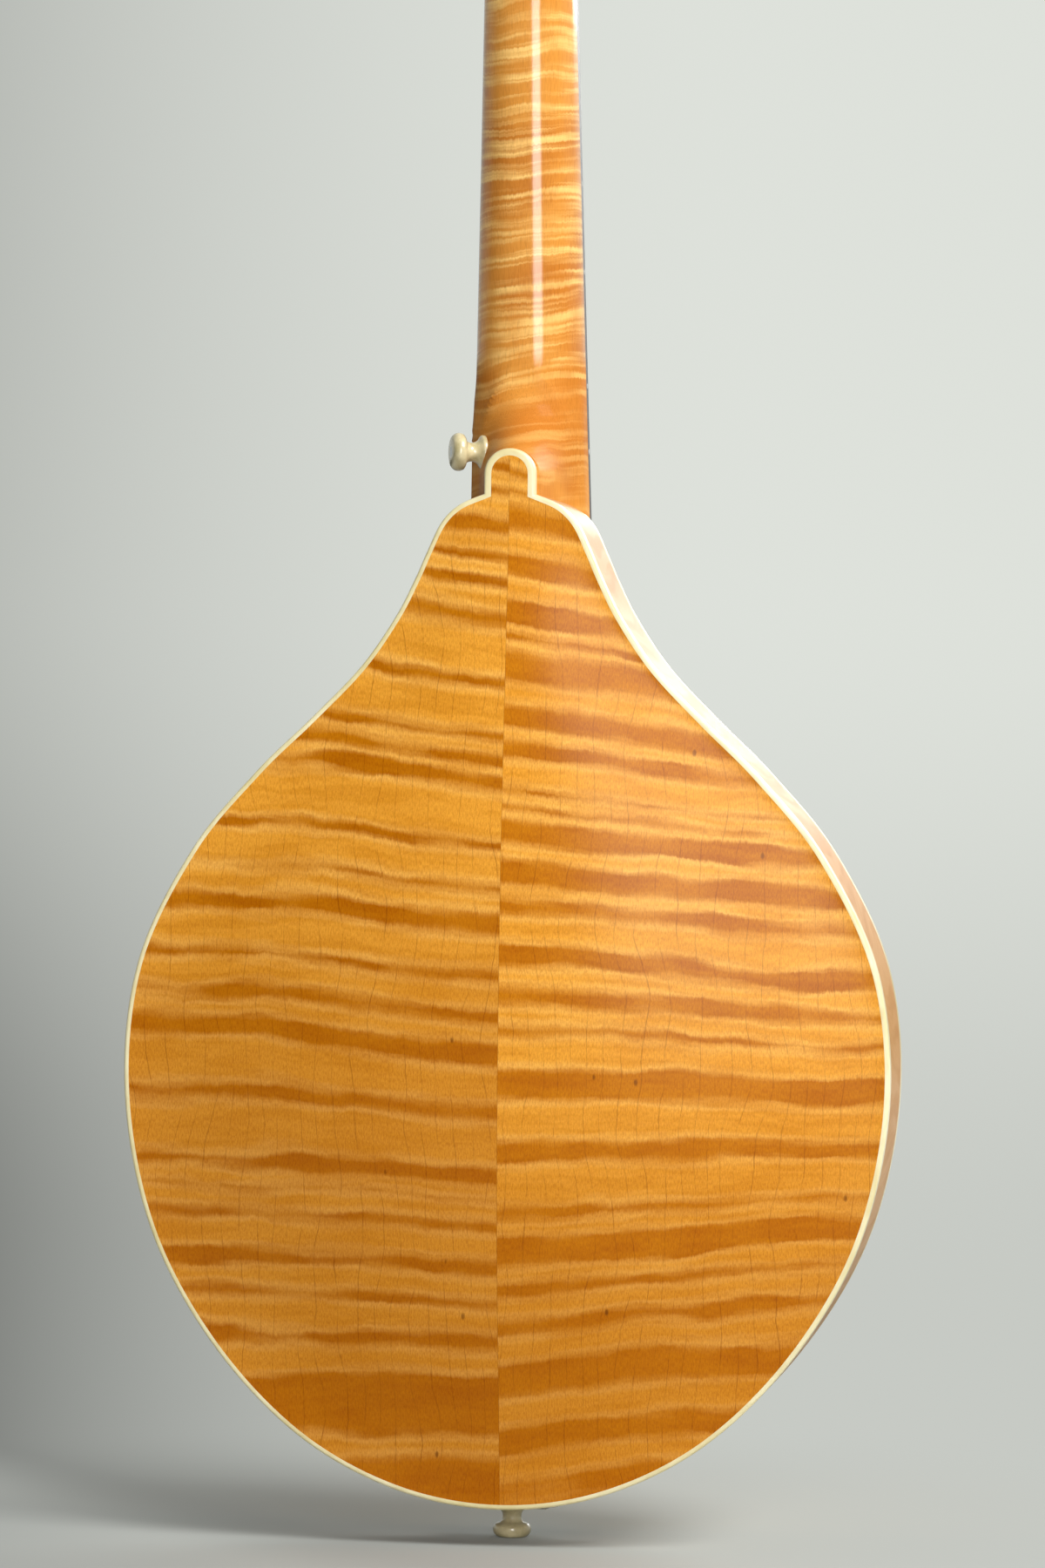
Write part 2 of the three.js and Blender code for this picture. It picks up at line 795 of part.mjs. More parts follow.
const boardBlank = slab(
  [
    [-boardHalfAt(0), 0],
    [boardHalfAt(0), 0],
    [boardHalfAt(boardEnd), -boardEnd],
    [-boardHalfAt(boardEnd), -boardEnd],
  ],
  0,
  boardThickness,
);
function fret(n) {
  const z = -fretDistance(n);
  const half = boardHalfAt(-z) - fretInset;
  const section = [
    [fretTang, z - fretWidth / 2],
    [fretTang, z + fretWidth / 2],
    [0, z + fretWidth / 2],
    [-fretHeight, z + fretCrownWidth / 2],
    [-fretHeight, z - fretCrownWidth / 2],
    [0, z - fretWidth / 2],
  ];
  return bar(section, -half, half);
}
const frets = Array.from({ length: lastFret }, (_, i) => fret(i + 1));
add("neck", "fingerboard", join(boardBlank, ...frets), ebony);

const nutBlank = box(-nutWidth / 2, nutWidth / 2, -nutHeight, boardThickness, glue, nutThickness - glue);
add("neck", "nut", nutBlank, boneWhite);

// Neck: a shaft of rounded section that deepens into a heel under the back's button

const neckOf = (y, z) => new THREE.Vector3(0, y, z).applyMatrix4(bodyToNeck);
const heelCap = neckOf(innerBack, shoulderHeight + buttonHeight);
const heelDepth = heelCap.y + overrun;
const capDistance = -heelCap.z;
const coveStart = capDistance - heelCove;
const capHalf = buttonWidth / 2;
const shaftDepthAt = (distance) =>
  shaftDepthAtNut + (shaftDepthAtHeel - shaftDepthAtNut) * Math.min(1, Math.max(0, distance / coveStart));

function neckBackAt(distance) {
  const shaft = neckFace + shaftDepthAt(distance);
  if (distance <= coveStart) return shaft;
  const along = Math.min(1, (distance - coveStart) / heelCove);
  return shaft + (heelDepth - shaft) * (1 - Math.sqrt(1 - along * along));
}

// Half the neck's width at a distance down from the nut and a depth y behind the fingerboard's face.
function neckHalfAt(distance, y) {
  const edge = boardHalfAt(distance);
  const v = (y - neckFace) / shaftDepthAt(distance);
  const shaft = v < 1 ? edge * (1 - v ** shaftRoundShare) ** (1 / shaftRoundShare) : 0;
  const shaftBack = neckFace + shaftDepthAt(coveStart);
  const q = Math.max(0, (y - shaftBack) / (heelDepth - shaftBack));
  const apex = coveStart + heelCove * Math.sqrt(Math.max(0, 2 * q - q * q));
  const depthShare = (y - neckFace) / (heelDepth - neckFace);
  const wide = capHalf + (edge - capHalf) * Math.max(0, 1 - depthShare) ** heelTaperShare;
  const s = Math.min(1, Math.max(0, (distance - apex) / (wide * heelNoseShare)));
  const heel = wide * Math.sqrt(1 - (1 - s) ** 2);
  return Math.min(edge, (shaft ** heelBlendShare + heel ** heelBlendShare) ** (1 / heelBlendShare));
}

const neckLevels = 7;
function neckSection(distance) {
  const back = neckBackAt(distance);
  const side = Array.from({ length: neckLevels + 1 }, (_, i) => {
    const y = neckFace + (back - neckFace) * Math.sin((Math.PI / 2) * (i / neckLevels));
    return [i === 0 ? boardHalfAt(distance) : neckHalfAt(distance, y), y];
  });
  return closedSection(side).map(([x, y]) => new THREE.Vector3(x, y, -distance));
}

// A whole section from its treble side, which runs from the front face to the back.
function closedSection(side) {
  const [front, back] = [side[0][1], side.at(-1)[1]];
  return [...side, [0, back], ...side.map(([x, y]) => [-x, y]).reverse(), [0, front]];
}

const coveStationShares = [0, 0.25, 0.48, 0.68, 0.83, 0.93, 0.98, 1];
const capStationShares = [0.12, 0.35, 0.7, 1, 1.6, 3.6];
const shaftStationShares = [0.2, 0.45, 0.72, 0.92];
const neckStations = [
  -nutThickness,
  0,
  ...shaftStationShares.map((s) => s * coveStart),
  ...coveStationShares.map((s) => coveStart + s * heelCove),
  ...capStationShares.map((s) => capDistance + s * capHalf),
];
const tenon = box(-tenonHalf, tenonHalf, innerTop, innerBack, tenonFoot, tenonTop);
const tongueDepth = boardRise;
const tongueStart = jointDistance - boardOverhang;
const tongueFar = jointDistance + tongueEnd;
const tongue = slab(
  [
    [-boardHalfAt(tongueStart) + tongueInset, -tongueStart],
    [boardHalfAt(tongueStart) - tongueInset, -tongueStart],
    [boardHalfAt(tongueFar) - tongueInset, -tongueFar],
    [-boardHalfAt(tongueFar) + tongueInset, -tongueFar],
  ],
  neckFace,
  neckFace + tongueDepth,
);
const outsideBody = slab(wholeRing(inset(topHalf, -glue)), rimTop - glue, rimBack + 2 * overrun);
const behindButton = box(
  -bodyWidth,
  bodyWidth,
  innerBack,
  rimBack + rimDepth,
  shoulderHeight - rimDepth,
  shoulderHeight + rimDepth,
);
const seatHalf = carvedHalf(inset(topHalf, -glue), topArch, rimDepth / 2, -1, rimTop, seat);
const trussRodEnd = jointDistance - trussRodShortOfJoint;
const trussChannel = box(
  -trussChannelWidth / 2,
  trussChannelWidth / 2,
  neckFace - overrun,
  neckFace + trussChannelDepth,
  -trussRodEnd,
  nutThickness + overrun,
);
const trussPocket = box(
  -trussPocketWidth / 2,
  trussPocketWidth / 2,
  -overrun,
  neckFace + trussPocketDepth,
  nutThickness + running,
  nutThickness + trussPocketLength,
);

// Peghead: its sizes are in its own frame, where y 0 is the headplate's face and z runs up from the nut

const pegheadOutline = (() => {
  const right = pegheadShares.map(([x, z]) => [(x * pegheadWidth) / 2, z * pegheadLength]);
  const curve = new THREE.SplineCurve(right.slice(0, -3).map(([x, z]) => new THREE.Vector2(x, z)));
  const flank = curve.getPoints(12).map((p) => [p.x, p.y]);
  const half = [[nutWidth / 2, 0], ...flank, ...right.slice(-3)];
  const left = half.filter(([x]) => x > 0).map(([x, z]) => [-x, z]);
  return [...half, ...left.reverse()];
})();
const woodFront = headplateThickness + glue;
const woodBack = woodFront + pegheadThickness;
const pegheadFlank = pegheadOutline.filter(([x]) => x > 0);

// Half the peghead's width at a height above the nut.
function pegheadHalfAt(height) {
  const k = pegheadFlank.findIndex(([, z]) => z > height);
  const [[x0, z0], [x1, z1]] = [pegheadFlank[k - 1], pegheadFlank[k]];
  return x0 + ((x1 - x0) * (height - z0)) / (z1 - z0);
}
const tunerRows = [0, 1, 2, 3].map((i) => firstTuner + i * tunerSpacing);
const tunerPlaces = [-1, 1].flatMap((side) => tunerRows.map((z) => [side * tunerOffset, z]));
const postBores = tunerPlaces.map(([x, z]) =>
  rod(postHoleRadius, -overrun, woodBack + overrun, 10).translate(x, 0, z),
);
const pegheadToNeck = new THREE.Matrix4().copy(groups.peghead.matrix);
const throatHalf = pegheadHalfAt(throatLength);
const aboveThroat = [
  [throatHalf, throatLength],
  ...pegheadOutline.filter(([, z]) => z > throatLength),
  [-throatHalf, throatLength],
];
const pegheadWood = cut(slab(aboveThroat, woodFront, woodBack), ...postBores).applyMatrix4(pegheadToNeck);

// Behind the nut the shaft's round back flattens and rises into the peghead's.
const throatSections = throatShares.map((share) => {
  const height = throatLength * share;
  const flat = THREE.MathUtils.smoothstep(share, 0, 1);
  const round = shaftRoundShare + (throatFlatShare - shaftRoundShare) * flat;
  const back = woodBack - glue + throatRise * (1 - share) ** 2;
  const front = woodFront - glue;
  const side = Array.from({ length: neckLevels + 1 }, (_, i) => {
    const v = Math.sin((Math.PI / 2) * (i / neckLevels));
    const x = (pegheadHalfAt(height) - glue) * (1 - v ** round) ** (1 / round);
    return [x, front + (back - front) * v];
  });
  return closedSection(side).map(([x, y]) => new THREE.Vector3(x, y, height).applyMatrix4(pegheadToNeck));
});
const headplateCutter = slab(
  pegheadOutline.map(([x, z]) => [x * cutterGrowShare, z < nutThickness ? z - overrun : z + overrun]),
  -rimDepth,
  woodFront,
).applyMatrix4(pegheadToNeck);

// Strap pin on the heel's treble side, on a flat seat spot-faced square to its axis

const heelPinTilt = radians(heelPinTiltDegrees);
const heelPinTurn = new THREE.Matrix4()
  .makeTranslation(heelPinReach, rimBack - heelPinFromRim, shoulderHeight + heelPinAboveShoulder)
  .multiply(new THREE.Matrix4().makeRotationZ(heelPinTilt - Math.PI / 2));
const heelPinBore = inNeck(pinShank(running, 12).applyMatrix4(heelPinTurn));
const heelPinSeat = inNeck(
  rod(pinFlangeRadius + pinSeatMargin, -glue, 3 * overrun, 20).applyMatrix4(heelPinTurn),
);

const neckShaft = loft([...throatSections, ...neckStations.map(neckSection)]);
const neckBody = cut(neckShaft, inNeck(outsideBody), inNeck(behindButton));
const neckAndPeghead = cut(join(neckBody, pegheadWood), headplateCutter);
const fitted = cut(join(neckAndPeghead, tongue), inNeck(seatHalf), inNeck(mirrored(seatHalf)));
const neckBlank = join(fitted, inNeck(tenon));
add("neck", "neck", cut(neckBlank, trussChannel, trussPocket, heelPinBore, heelPinSeat), neckMaple);

const neckToPeghead = new THREE.Matrix4().copy(pegheadToNeck).invert();
const headplateBlank = slab(pegheadOutline, 0, headplateThickness);
const nutSpace = box(-nutWidth, nutWidth, -overrun, boardThickness + overrun, -overrun, nutThickness);
const headplateCuts = [trussPocket, nutSpace].map((tool) => tool.clone().applyMatrix4(neckToPeghead));
const headplate = cut(headplateBlank, ...postBores, ...headplateCuts);
add("peghead", "headplate", headplate, ebony);

// Truss rod in its channel, the nut that tightens it, and the cover over its pocket

const trussAxis = neckFace + trussChannelDepth - trussRodRadius - running;
const trussNutStart = nutThickness + 2 * running;
const trussRod = rod(trussRodRadius, -trussNutStart - trussNutLength, trussRodEnd - running, 8);
const alongNeck = -Math.PI / 2;
add("neck", "truss_rod", trussRod.rotateX(alongNeck), steel, new THREE.Vector3(0, trussAxis, 0));
const trussNut = cut(
  rod(trussNutRadius, -trussNutStart - trussNutLength, -trussNutStart, 6),
  rod(trussRodRadius + running, -trussNutStart - trussNutLength - overrun, overrun, 8),
);
add("neck", "truss_rod_nut", trussNut.rotateX(alongNeck), brass, new THREE.Vector3(0, trussAxis, 0));

const coverShares = [
  [0.5, 0],
  [0.5, 0.3],
  [0.34, 0.62],
  [0.14, 0.82],
  [0, 1],
];
const coverOutline = (() => {
  const half = coverShares.map(([x, z]) => [x * coverWidth, z * coverLength + running]);
  return [...half, ...half.filter(([x]) => x > 0).map(([x, z]) => [-x, z]).reverse()];
})();
add("peghead", "truss_rod_cover", slab(coverOutline, -coverThickness - glue, -glue), ebony);

// Tuners: two back plates with four worm gears each

const plateBack = woodBack + glue + plateThickness;
const gearFront = plateBack + gearStandoff;
const gearMiddle = gearFront + gearThickness / 2;
const wormRise = gearPitchRadius + wormPitchRadius;
const rowsMiddle = (tunerRows[0] + tunerRows.at(-1)) / 2 + wormRise / 2;

function tunerPlate(side) {
  const x = side * tunerOffset;
  const sheet = box(
    x - plateWidth / 2,
    x + plateWidth / 2,
    woodBack + glue,
    plateBack,
    rowsMiddle - plateLength / 2,
    rowsMiddle + plateLength / 2,
  );
  const lugs = tunerRows.flatMap((z) =>
    [-1, 1].map((end) => {
      const middle = x + end * lugOffset;
      const lug = box(
        middle - lugThickness / 2,
        middle + lugThickness / 2,
        plateBack - plateThickness / 2,
        plateBack + lugReach,
        z + wormRise - lugHalfHeight,
        z + wormRise + lugHalfHeight,
      );
      const bore = rod(lugBoreRadius, -overrun, overrun, 8).rotateZ(Math.PI / 2);
      return cut(lug, bore.translate(middle, gearMiddle, z + wormRise));
    }),
  );
  const holes = tunerRows.map((z) =>
    rod(postHoleRadius, woodBack - overrun, plateBack + overrun, 10).translate(x, 0, z),
  );
  return cut(join(sheet, ...lugs), ...holes);
}
add("peghead", "tuner_plate_bass", tunerPlate(-1), nickel);
add("peghead", "tuner_plate_treble", tunerPlate(1), nickel);

// A gear about the Y axis, with a gap between two teeth facing +Z, where the worm is.
function gearWheel() {
  const points = [];
  for (let tooth = 0; tooth < gearTeeth; tooth++) {
    const middle = (2 * Math.PI * (tooth + 0.5)) / gearTeeth + Math.PI / 2;
    for (const [radius, width, side] of [
      [gearRootRadius, gearToothRoot, -1],
      [gearTipRadius, gearToothTip, -1],
      [gearTipRadius, gearToothTip, 1],
      [gearRootRadius, gearToothRoot, 1],
    ]) {
      const angle = middle + (side * width) / 2 / radius;
      points.push([radius * Math.cos(angle), radius * Math.sin(angle)]);
    }
  }
  return slab(points, gearFront, gearFront + gearThickness);
}

function tunerPost() {
  const back = gearFront + gearThickness + gearScrewHeight;
  const shaft = turned(
    [
      [0, back],
      [gearScrewRadius, back],
      [gearScrewRadius, gearFront + gearThickness / 2],
      [postRadius, gearFront + gearThickness / 2],
      [postRadius, -postHeight + postChamfer],
      [postRadius - postChamfer, -postHeight],
      [0, -postHeight],
    ],
    10,
  );
  return join(shaft, gearWheel());
}

// A right-handed worm about the X axis, whose thread faces the gear's gap at its middle.
function worm() {
  const steps = 8;
  const axialPitch = (2 * Math.PI * gearPitchRadius) / gearTeeth;
  const count = Math.round(wormTurns * steps);
  const inner = wormRootRadius * wormBuriedShare;
  const rings = Array.from({ length: count + 1 }, (_, i) => {
    const turn = (i - count / 2) / steps;
    const angle = 2 * Math.PI * turn;
    const section = [
      [inner, -wormFoot / 2],
      [wormRootRadius, -wormFoot / 2],
      [wormTipRadius, -wormCrest / 2],
      [wormTipRadius, wormCrest / 2],
      [wormRootRadius, wormFoot / 2],
      [inner, wormFoot / 2],
    ];
    return section.map(
      ([r, a]) => new THREE.Vector3(turn * axialPitch + a, r * Math.sin(angle), -r * Math.cos(angle)),
    );
  });
  return loft(rings);
}

function tunerKnob(side) {
  const start = side * (-lugOffset - lugThickness);
  const end = side * (knobStart - tunerOffset + knobLength / 2);
  const shaft = rod(wormRootRadius, Math.min(start, end), Math.max(start, end), 8).rotateZ(-Math.PI / 2);
  const half = knobWidth / 2;
  const knobShares = [
    [0, 0],
    [0.3, 0],
    [0.4, 0.16],
    [0.85, 0.3],
    [1, 0.58],
    [0.82, 0.86],
    [0.4, 1],
    [0, 1],
  ];
  const knob = turned(knobShares.map(([r, a]) => [r * half, a * knobLength]), 12)
    .scale(1, 1, knobThicknessShare)
    .rotateZ(-Math.PI / 2)
    .translate(knobStart - tunerOffset, 0, 0);
  return join(shaft, worm(), side > 0 ? knob : mirrored(knob));
}

const postGeometry = tunerPost();
const knobGeometries = { "-1": tunerKnob(-1), 1: tunerKnob(1) };
tunerPlaces.forEach(([x, z], i) => {
  const side = Math.sign(x);
  add("peghead", `tuner_post_${i + 1}`, postGeometry, brass, new THREE.Vector3(x, 0, z));
  const wormPlace = new THREE.Vector3(x, gearMiddle, z + wormRise);
  add("peghead", `tuner_knob_${i + 1}`, knobGeometries[side], ivoroid, wormPlace);
});

// Strap pins, turned in one piece with their tapered shanks

function strapPin() {
  const headStart = pinLength - pinHeadLength;
  return turned(
    [
      [0, -pinShankLength],
      [pinShankTipRadius, -pinShankLength],
      [pinShankRadius, 0],
      [pinFlangeRadius, 0],
      ...pinFlangeShares.map(([r, y]) => [r * pinFlangeRadius, y * headStart]),
      ...pinWaistShares.map(([r, y]) => [r * pinWaistRadius, y * headStart]),
      ...pinHeadShares.map(([r, y]) => [r * pinHeadRadius, headStart + y * pinHeadLength]),
      [0, pinLength],
    ],
    16,
  );
}
const tailPinPlace = new THREE.Vector3(0, rimTop + tailPinDepth, -leafFace - glue);
add("body", "tail_strap_pin", strapPin().rotateX(-Math.PI / 2), boneWhite, tailPinPlace);
const heelPin = add("body", "heel_strap_pin", strapPin(), boneWhite);
heelPinTurn.decompose(heelPin.position, heelPin.quaternion, heelPin.scale);

// Strings: straight from the tailpiece to the saddle, the nut and the posts, then wound up the posts

const bothSides = [-1, 1];
const sideName = (side) => (side < 0 ? "bass" : "treble");
const courseNames = ["g", "d", "a", "e"];
const stringOrder = stringRadii.map((_, i) => i);
const halfOfStrings = stringOrder.length / 2;
const acrossAt = (i, course, pair) =>
  (Math.floor(i / 2) - (courseNames.length - 1) / 2) * course + ((i % 2 ? 1 : -1) * pair) / 2;
const saddleDistance = scaleLength + intonation;
const stringLiftAt = (distance) =>
  fretHeight + actionAtNut + ((actionAtOctave - actionAtNut) * distance) / fretDistance(12);
const neckPoint = (x, y, z) => new THREE.Vector3(x, y, z).applyMatrix4(groups.neck.matrixWorld);
const pegheadPoint = (x, y, z) => new THREE.Vector3(x, y, z).applyMatrix4(groups.peghead.matrixWorld);
const bodyPoint = (x, y, z) => new THREE.Vector3(x, y, z + tailHeight);
const saddlePoint = neckPoint(0, -stringLiftAt(saddleDistance), -saddleDistance);
const saddleLine = saddlePoint.z - tailHeight;
const saddleTop = saddlePoint.y + seat;

// Tailpiece: a bent sheet from the tail over the top's edge, its hooks, and a cover that slides on

const plateAngle = Math.atan2(plateRise, plateRun);
const bendPlace = [rimTop - bendRise, bendHeight];
const platePoint = (s, n) => [
  bendPlace[0] - s * Math.sin(plateAngle) - n * Math.cos(plateAngle),
  bendPlace[1] + s * Math.cos(plateAngle) - n * Math.sin(plateAngle),
];
const plateEnd = Math.hypot(plateRun, plateRise);
const tailSheet = bar(
  [
    [rimTop + leafDepth, -glue],
    [rimTop - leafRise, -glue],
    platePoint(0, -sheetThickness),
    platePoint(plateEnd, -sheetThickness),
    platePoint(plateEnd, 0),
    platePoint(0, 0),
    [rimTop - leafRise - sheetThickness / 2, -glue - sheetThickness],
    [rimTop + leafDepth, -glue - sheetThickness],
  ],
  -tailpieceWidth / 2,
  tailpieceWidth / 2,
);
const plateTurn = new THREE.Matrix4()
  .makeTranslation(0, ...bendPlace)
  .multiply(new THREE.Matrix4().makeRotationX(plateAngle));
const hookX = (i) => (i - (stringOrder.length - 1) / 2) * hookPitch;
const hooks = stringOrder.map((i) =>
  box(
    hookX(i) - hookWidth / 2,
    hookX(i) + hookWidth / 2,
    -hookHeight,
    sheetThickness / 2,
    hookRow - hookLength / 2,
    hookRow + hookLength / 2,
  ).applyMatrix4(plateTurn),
);
const tailpieceBase = cut(join(tailSheet, ...hooks), ...tailBores);
add("body", "tailpiece_base", tailpieceBase, nickel);

const coverHalfWidth = tailpieceWidth / 2 + running + tailCoverWall;
function coverSection(shrink) {
  const half = coverHalfWidth - shrink;
  const chamfer = tailCoverChamfer - shrink / 2;
  const top = -(tailCoverHeight - shrink);
  const skirt = tailCoverSkirt + (shrink ? overrun : 0);
  return [
    [half, skirt],
    [half, top + chamfer],
    [half - chamfer, top],
    [-half + chamfer, top],
    [-half, top + chamfer],
    [-half, skirt],
  ];
}
function coverPrism(shrink, s0, s1) {
  const shape = new THREE.Shape(coverSection(shrink).map(([x, y]) => new THREE.Vector2(x, y)));
  const prism = new THREE.ExtrudeGeometry(shape, { depth: s1 - s0, bevelEnabled: false });
  return prism.translate(0, 0, s0);
}
const coverShell = cut(
  coverPrism(0, tailCoverStart, tailCoverStart + tailCoverLength),
  coverPrism(tailCoverWall, tailCoverStart + tailCoverWall, tailCoverStart + tailCoverLength + overrun),
  box(-bodyWidth, bodyWidth, -running, overrun * 2, 0, tailCoverStart + 2 * tailCoverWall),
);
const tailCover = add("body", "tailpiece_cover", coverShell, nickel);
tailCover.applyMatrix4(plateTurn);

function tailScrew(side) {
  const [x, y] = tailScrewPlace(side);
  const under = sheetThickness + 2 * glue;
  const screw = turned(
    [
      [0, tailScrewLength],
      [tailScrewRadius, tailScrewLength - tailScrewPoint],
      [tailScrewRadius, -under],
      [tailScrewHeadRadius, -under],
      [tailScrewHeadRadius * screwCrownShare, -under - tailScrewHeadHeight],
      [0, -under - tailScrewHeadHeight],
    ],
    10,
  );
  const name = `tailpiece_screw_${sideName(side)}`;
  add("body", name, screw.rotateX(Math.PI / 2), nickel, new THREE.Vector3(x, y, 0));
}
bothSides.forEach(tailScrew);

// Bridge: a base carved to the top, two threaded posts, their thumbwheels and the saddle that they lift

const baseCrest = rimTop - archAt(0, saddleLine, topArch) - seat - bridgeMiddle;
const wheelFront = baseCrest - saddleLowering - wheelClearance - wheelThickness;
const saddleFoot = wheelFront - glue;

function bridgeBase() {
  const stations = 13;
  const rings = Array.from({ length: stations }, (_, i) => {
    const share = (2 * i) / (stations - 1) - 1;
    const x = (share * bridgeLength) / 2;
    const under = rimTop - archAt(x, saddleLine, topArch) - seat;
    const shoulder = Math.min(1, Math.max(0, (1 - Math.abs(share)) / bridgeSlopeShare));
    const lift = THREE.MathUtils.smoothstep(shoulder, 0, 1);
    const front = under - bridgeTip + (baseCrest - (under - bridgeTip)) * lift;
    const half = bridgeWidth / 2;
    return [
      [under, -half],
      [under, half],
      [front, half * bridgeCrestShare],
      [front, -half * bridgeCrestShare],
    ].map(([y, z]) => new THREE.Vector3(x, y, saddleLine + z));
  });
  const sockets = bothSides.map((side) =>
    rod(bridgePostRadius + glue, baseCrest - overrun, baseCrest + bridgePostSeat + glue, 10).translate(
      side * bridgePostOffset,
      0,
      saddleLine,
    ),
  );
  return cut(loft(rings), ...sockets);
}
add("body", "bridge_base", bridgeBase(), ebony);

const postTop = saddleFoot - saddleSocket + saddleLowering + running;
bothSides.forEach((side) => {
  const name = sideName(side);
  const place = new THREE.Vector3(side * bridgePostOffset, 0, saddleLine);
  const post = rod(bridgePostRadius, postTop, baseCrest + bridgePostSeat, 10);
  add("body", `bridge_post_${name}`, post, brass, place);
  const disc = rod(wheelRadius, wheelFront, wheelFront + wheelThickness, 20);
  const wheel = cut(disc, rod(bridgePostRadius + running, wheelFront - overrun, wheelFront + overrun, 10));
  add("body", `thumbwheel_${name}`, wheel, brass, place);
});

const saddleBlank = loft(
  [-1, -saddleFlatShare, saddleFlatShare, 1].map((share) => {
    const end = Math.abs(share) === 1 ? saddleEndShare : 1;
    const foot = saddleFoot;
    const top = foot + (saddleTop - foot) * end;
    return [
      [foot, -saddleThickness / 2],
      [foot, saddleThickness / 2],
      [foot + (top - foot) * saddleShoulderShare, saddleThickness / 2],
      [top, saddleCrest / 2],
      [top, -saddleCrest / 2],
      [foot + (top - foot) * saddleShoulderShare, -saddleThickness / 2],
    ].map(([y, z]) => new THREE.Vector3((share * saddleLength) / 2, y, saddleLine + z));
  }),
);
const saddleSockets = bothSides.map((side) =>
  rod(bridgePostRadius + running, saddleFoot - saddleSocket, saddleFoot + overrun, 10).translate(
    side * bridgePostOffset,
    0,
    saddleLine,
  ),
);
add("body", "bridge_saddle", cut(saddleBlank, ...saddleSockets), ebony);

// String paths. Strings 1 to 8 run from the bass side to the treble side, two to a course.

// The post of a string: the outer courses go to the lower posts, and the inner ones to the upper posts.
const postOf = (i) => (i < halfOfStrings ? i : stringOrder.length - 1 - (i - halfOfStrings));

function stringPath(i) {
  const radius = stringRadii[i];
  const side = i < halfOfStrings ? -1 : 1;
  const [postX, postZ] = tunerPlaces[postOf(i)];
  const nutX = acrossAt(i, courseSpacingAtNut, pairSpacingAtNut);
  const saddleX = acrossAt(i, courseSpacingAtSaddle, pairSpacingAtSaddle);
  const [hookY, hookZ] = platePoint(hookRow + hookLength / 2 + running, hookHeight / 2);
  const start = bodyPoint(hookX(i), hookY, hookZ);
  const lift = (distance) => -stringLiftAt(distance) - radius;
  const overSaddle = neckPoint(saddleX, lift(saddleDistance), -saddleDistance);
  const nutFront = neckPoint(nutX, Math.min(lift(0), -nutHeight - radius - glue), 0);
  const nutBack = neckPoint(nutX, -nutHeight - radius - glue, nutThickness);
  const reach = postRadius + running + radius;
  const rise = 2 * radius + windingGap;
  const steps = 8;
  const wound = Array.from({ length: windingTurns * steps + 1 }, (_, k) => {
    const turn = k / steps;
    const angle = 2 * Math.PI * turn;
    const x = postX - side * reach * Math.cos(angle);
    return pegheadPoint(x, -windingStart - radius - rise * turn, postZ + reach * Math.sin(angle));
  });
  return [start, overSaddle, nutFront, nutBack, ...wound];
}

// The least gap between a wound string and its own earlier turns.
function windingSelfGap(i) {
  const points = stringPath(i).slice(4);
  let least = Infinity;
  points.forEach((p, a) => {
    for (let b = a + 6; b < points.length; b++) least = Math.min(least, p.distanceTo(points[b]));
  });
  return least - 2 * stringRadii[i];
}

stringOrder.forEach((i) => {
  const name = `${courseNames[Math.floor(i / 2)]}_string_${(i % 2) + 1}`;
  const material = i < halfOfStrings ? bronzeWound : steel;
  add("mandolin", name, tube(stringPath(i), stringRadii[i], 5), material);
});
console.log("least gap in a winding", Math.min(...stringOrder.map(windingSelfGap)).toFixed(2));

export default groups.mandolin;
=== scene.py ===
import math

import bmesh
import bpy
from mathutils import Matrix, Vector


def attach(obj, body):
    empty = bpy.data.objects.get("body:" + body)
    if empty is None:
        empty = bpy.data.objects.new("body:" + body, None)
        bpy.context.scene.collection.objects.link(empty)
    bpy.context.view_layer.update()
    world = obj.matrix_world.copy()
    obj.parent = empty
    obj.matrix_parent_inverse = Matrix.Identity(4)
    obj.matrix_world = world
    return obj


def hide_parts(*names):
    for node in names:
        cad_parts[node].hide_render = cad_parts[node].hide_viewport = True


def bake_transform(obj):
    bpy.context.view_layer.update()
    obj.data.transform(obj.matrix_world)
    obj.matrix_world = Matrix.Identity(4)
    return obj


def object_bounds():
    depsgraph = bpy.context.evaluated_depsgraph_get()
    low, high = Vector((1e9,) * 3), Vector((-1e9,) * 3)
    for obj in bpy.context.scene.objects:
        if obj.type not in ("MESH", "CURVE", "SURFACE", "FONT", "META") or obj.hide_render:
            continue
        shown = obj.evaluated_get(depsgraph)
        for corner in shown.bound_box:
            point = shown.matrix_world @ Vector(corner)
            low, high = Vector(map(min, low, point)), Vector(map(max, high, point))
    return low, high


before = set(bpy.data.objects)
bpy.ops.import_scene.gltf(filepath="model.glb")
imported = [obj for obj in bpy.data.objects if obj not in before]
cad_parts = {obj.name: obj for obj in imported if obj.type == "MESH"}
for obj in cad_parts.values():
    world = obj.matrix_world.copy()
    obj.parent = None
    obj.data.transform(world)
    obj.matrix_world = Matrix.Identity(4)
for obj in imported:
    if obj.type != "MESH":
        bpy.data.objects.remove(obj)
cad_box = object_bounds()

# The back
# Two halves of flamed maple, cut from one wedge and opened like a book, so that what is light on one side is
# dark on the other. They are joined along the middle, carved to a dome with a hollow along the edge, stained
# amber and lacquered. The upper end is the button over the neck's heel.

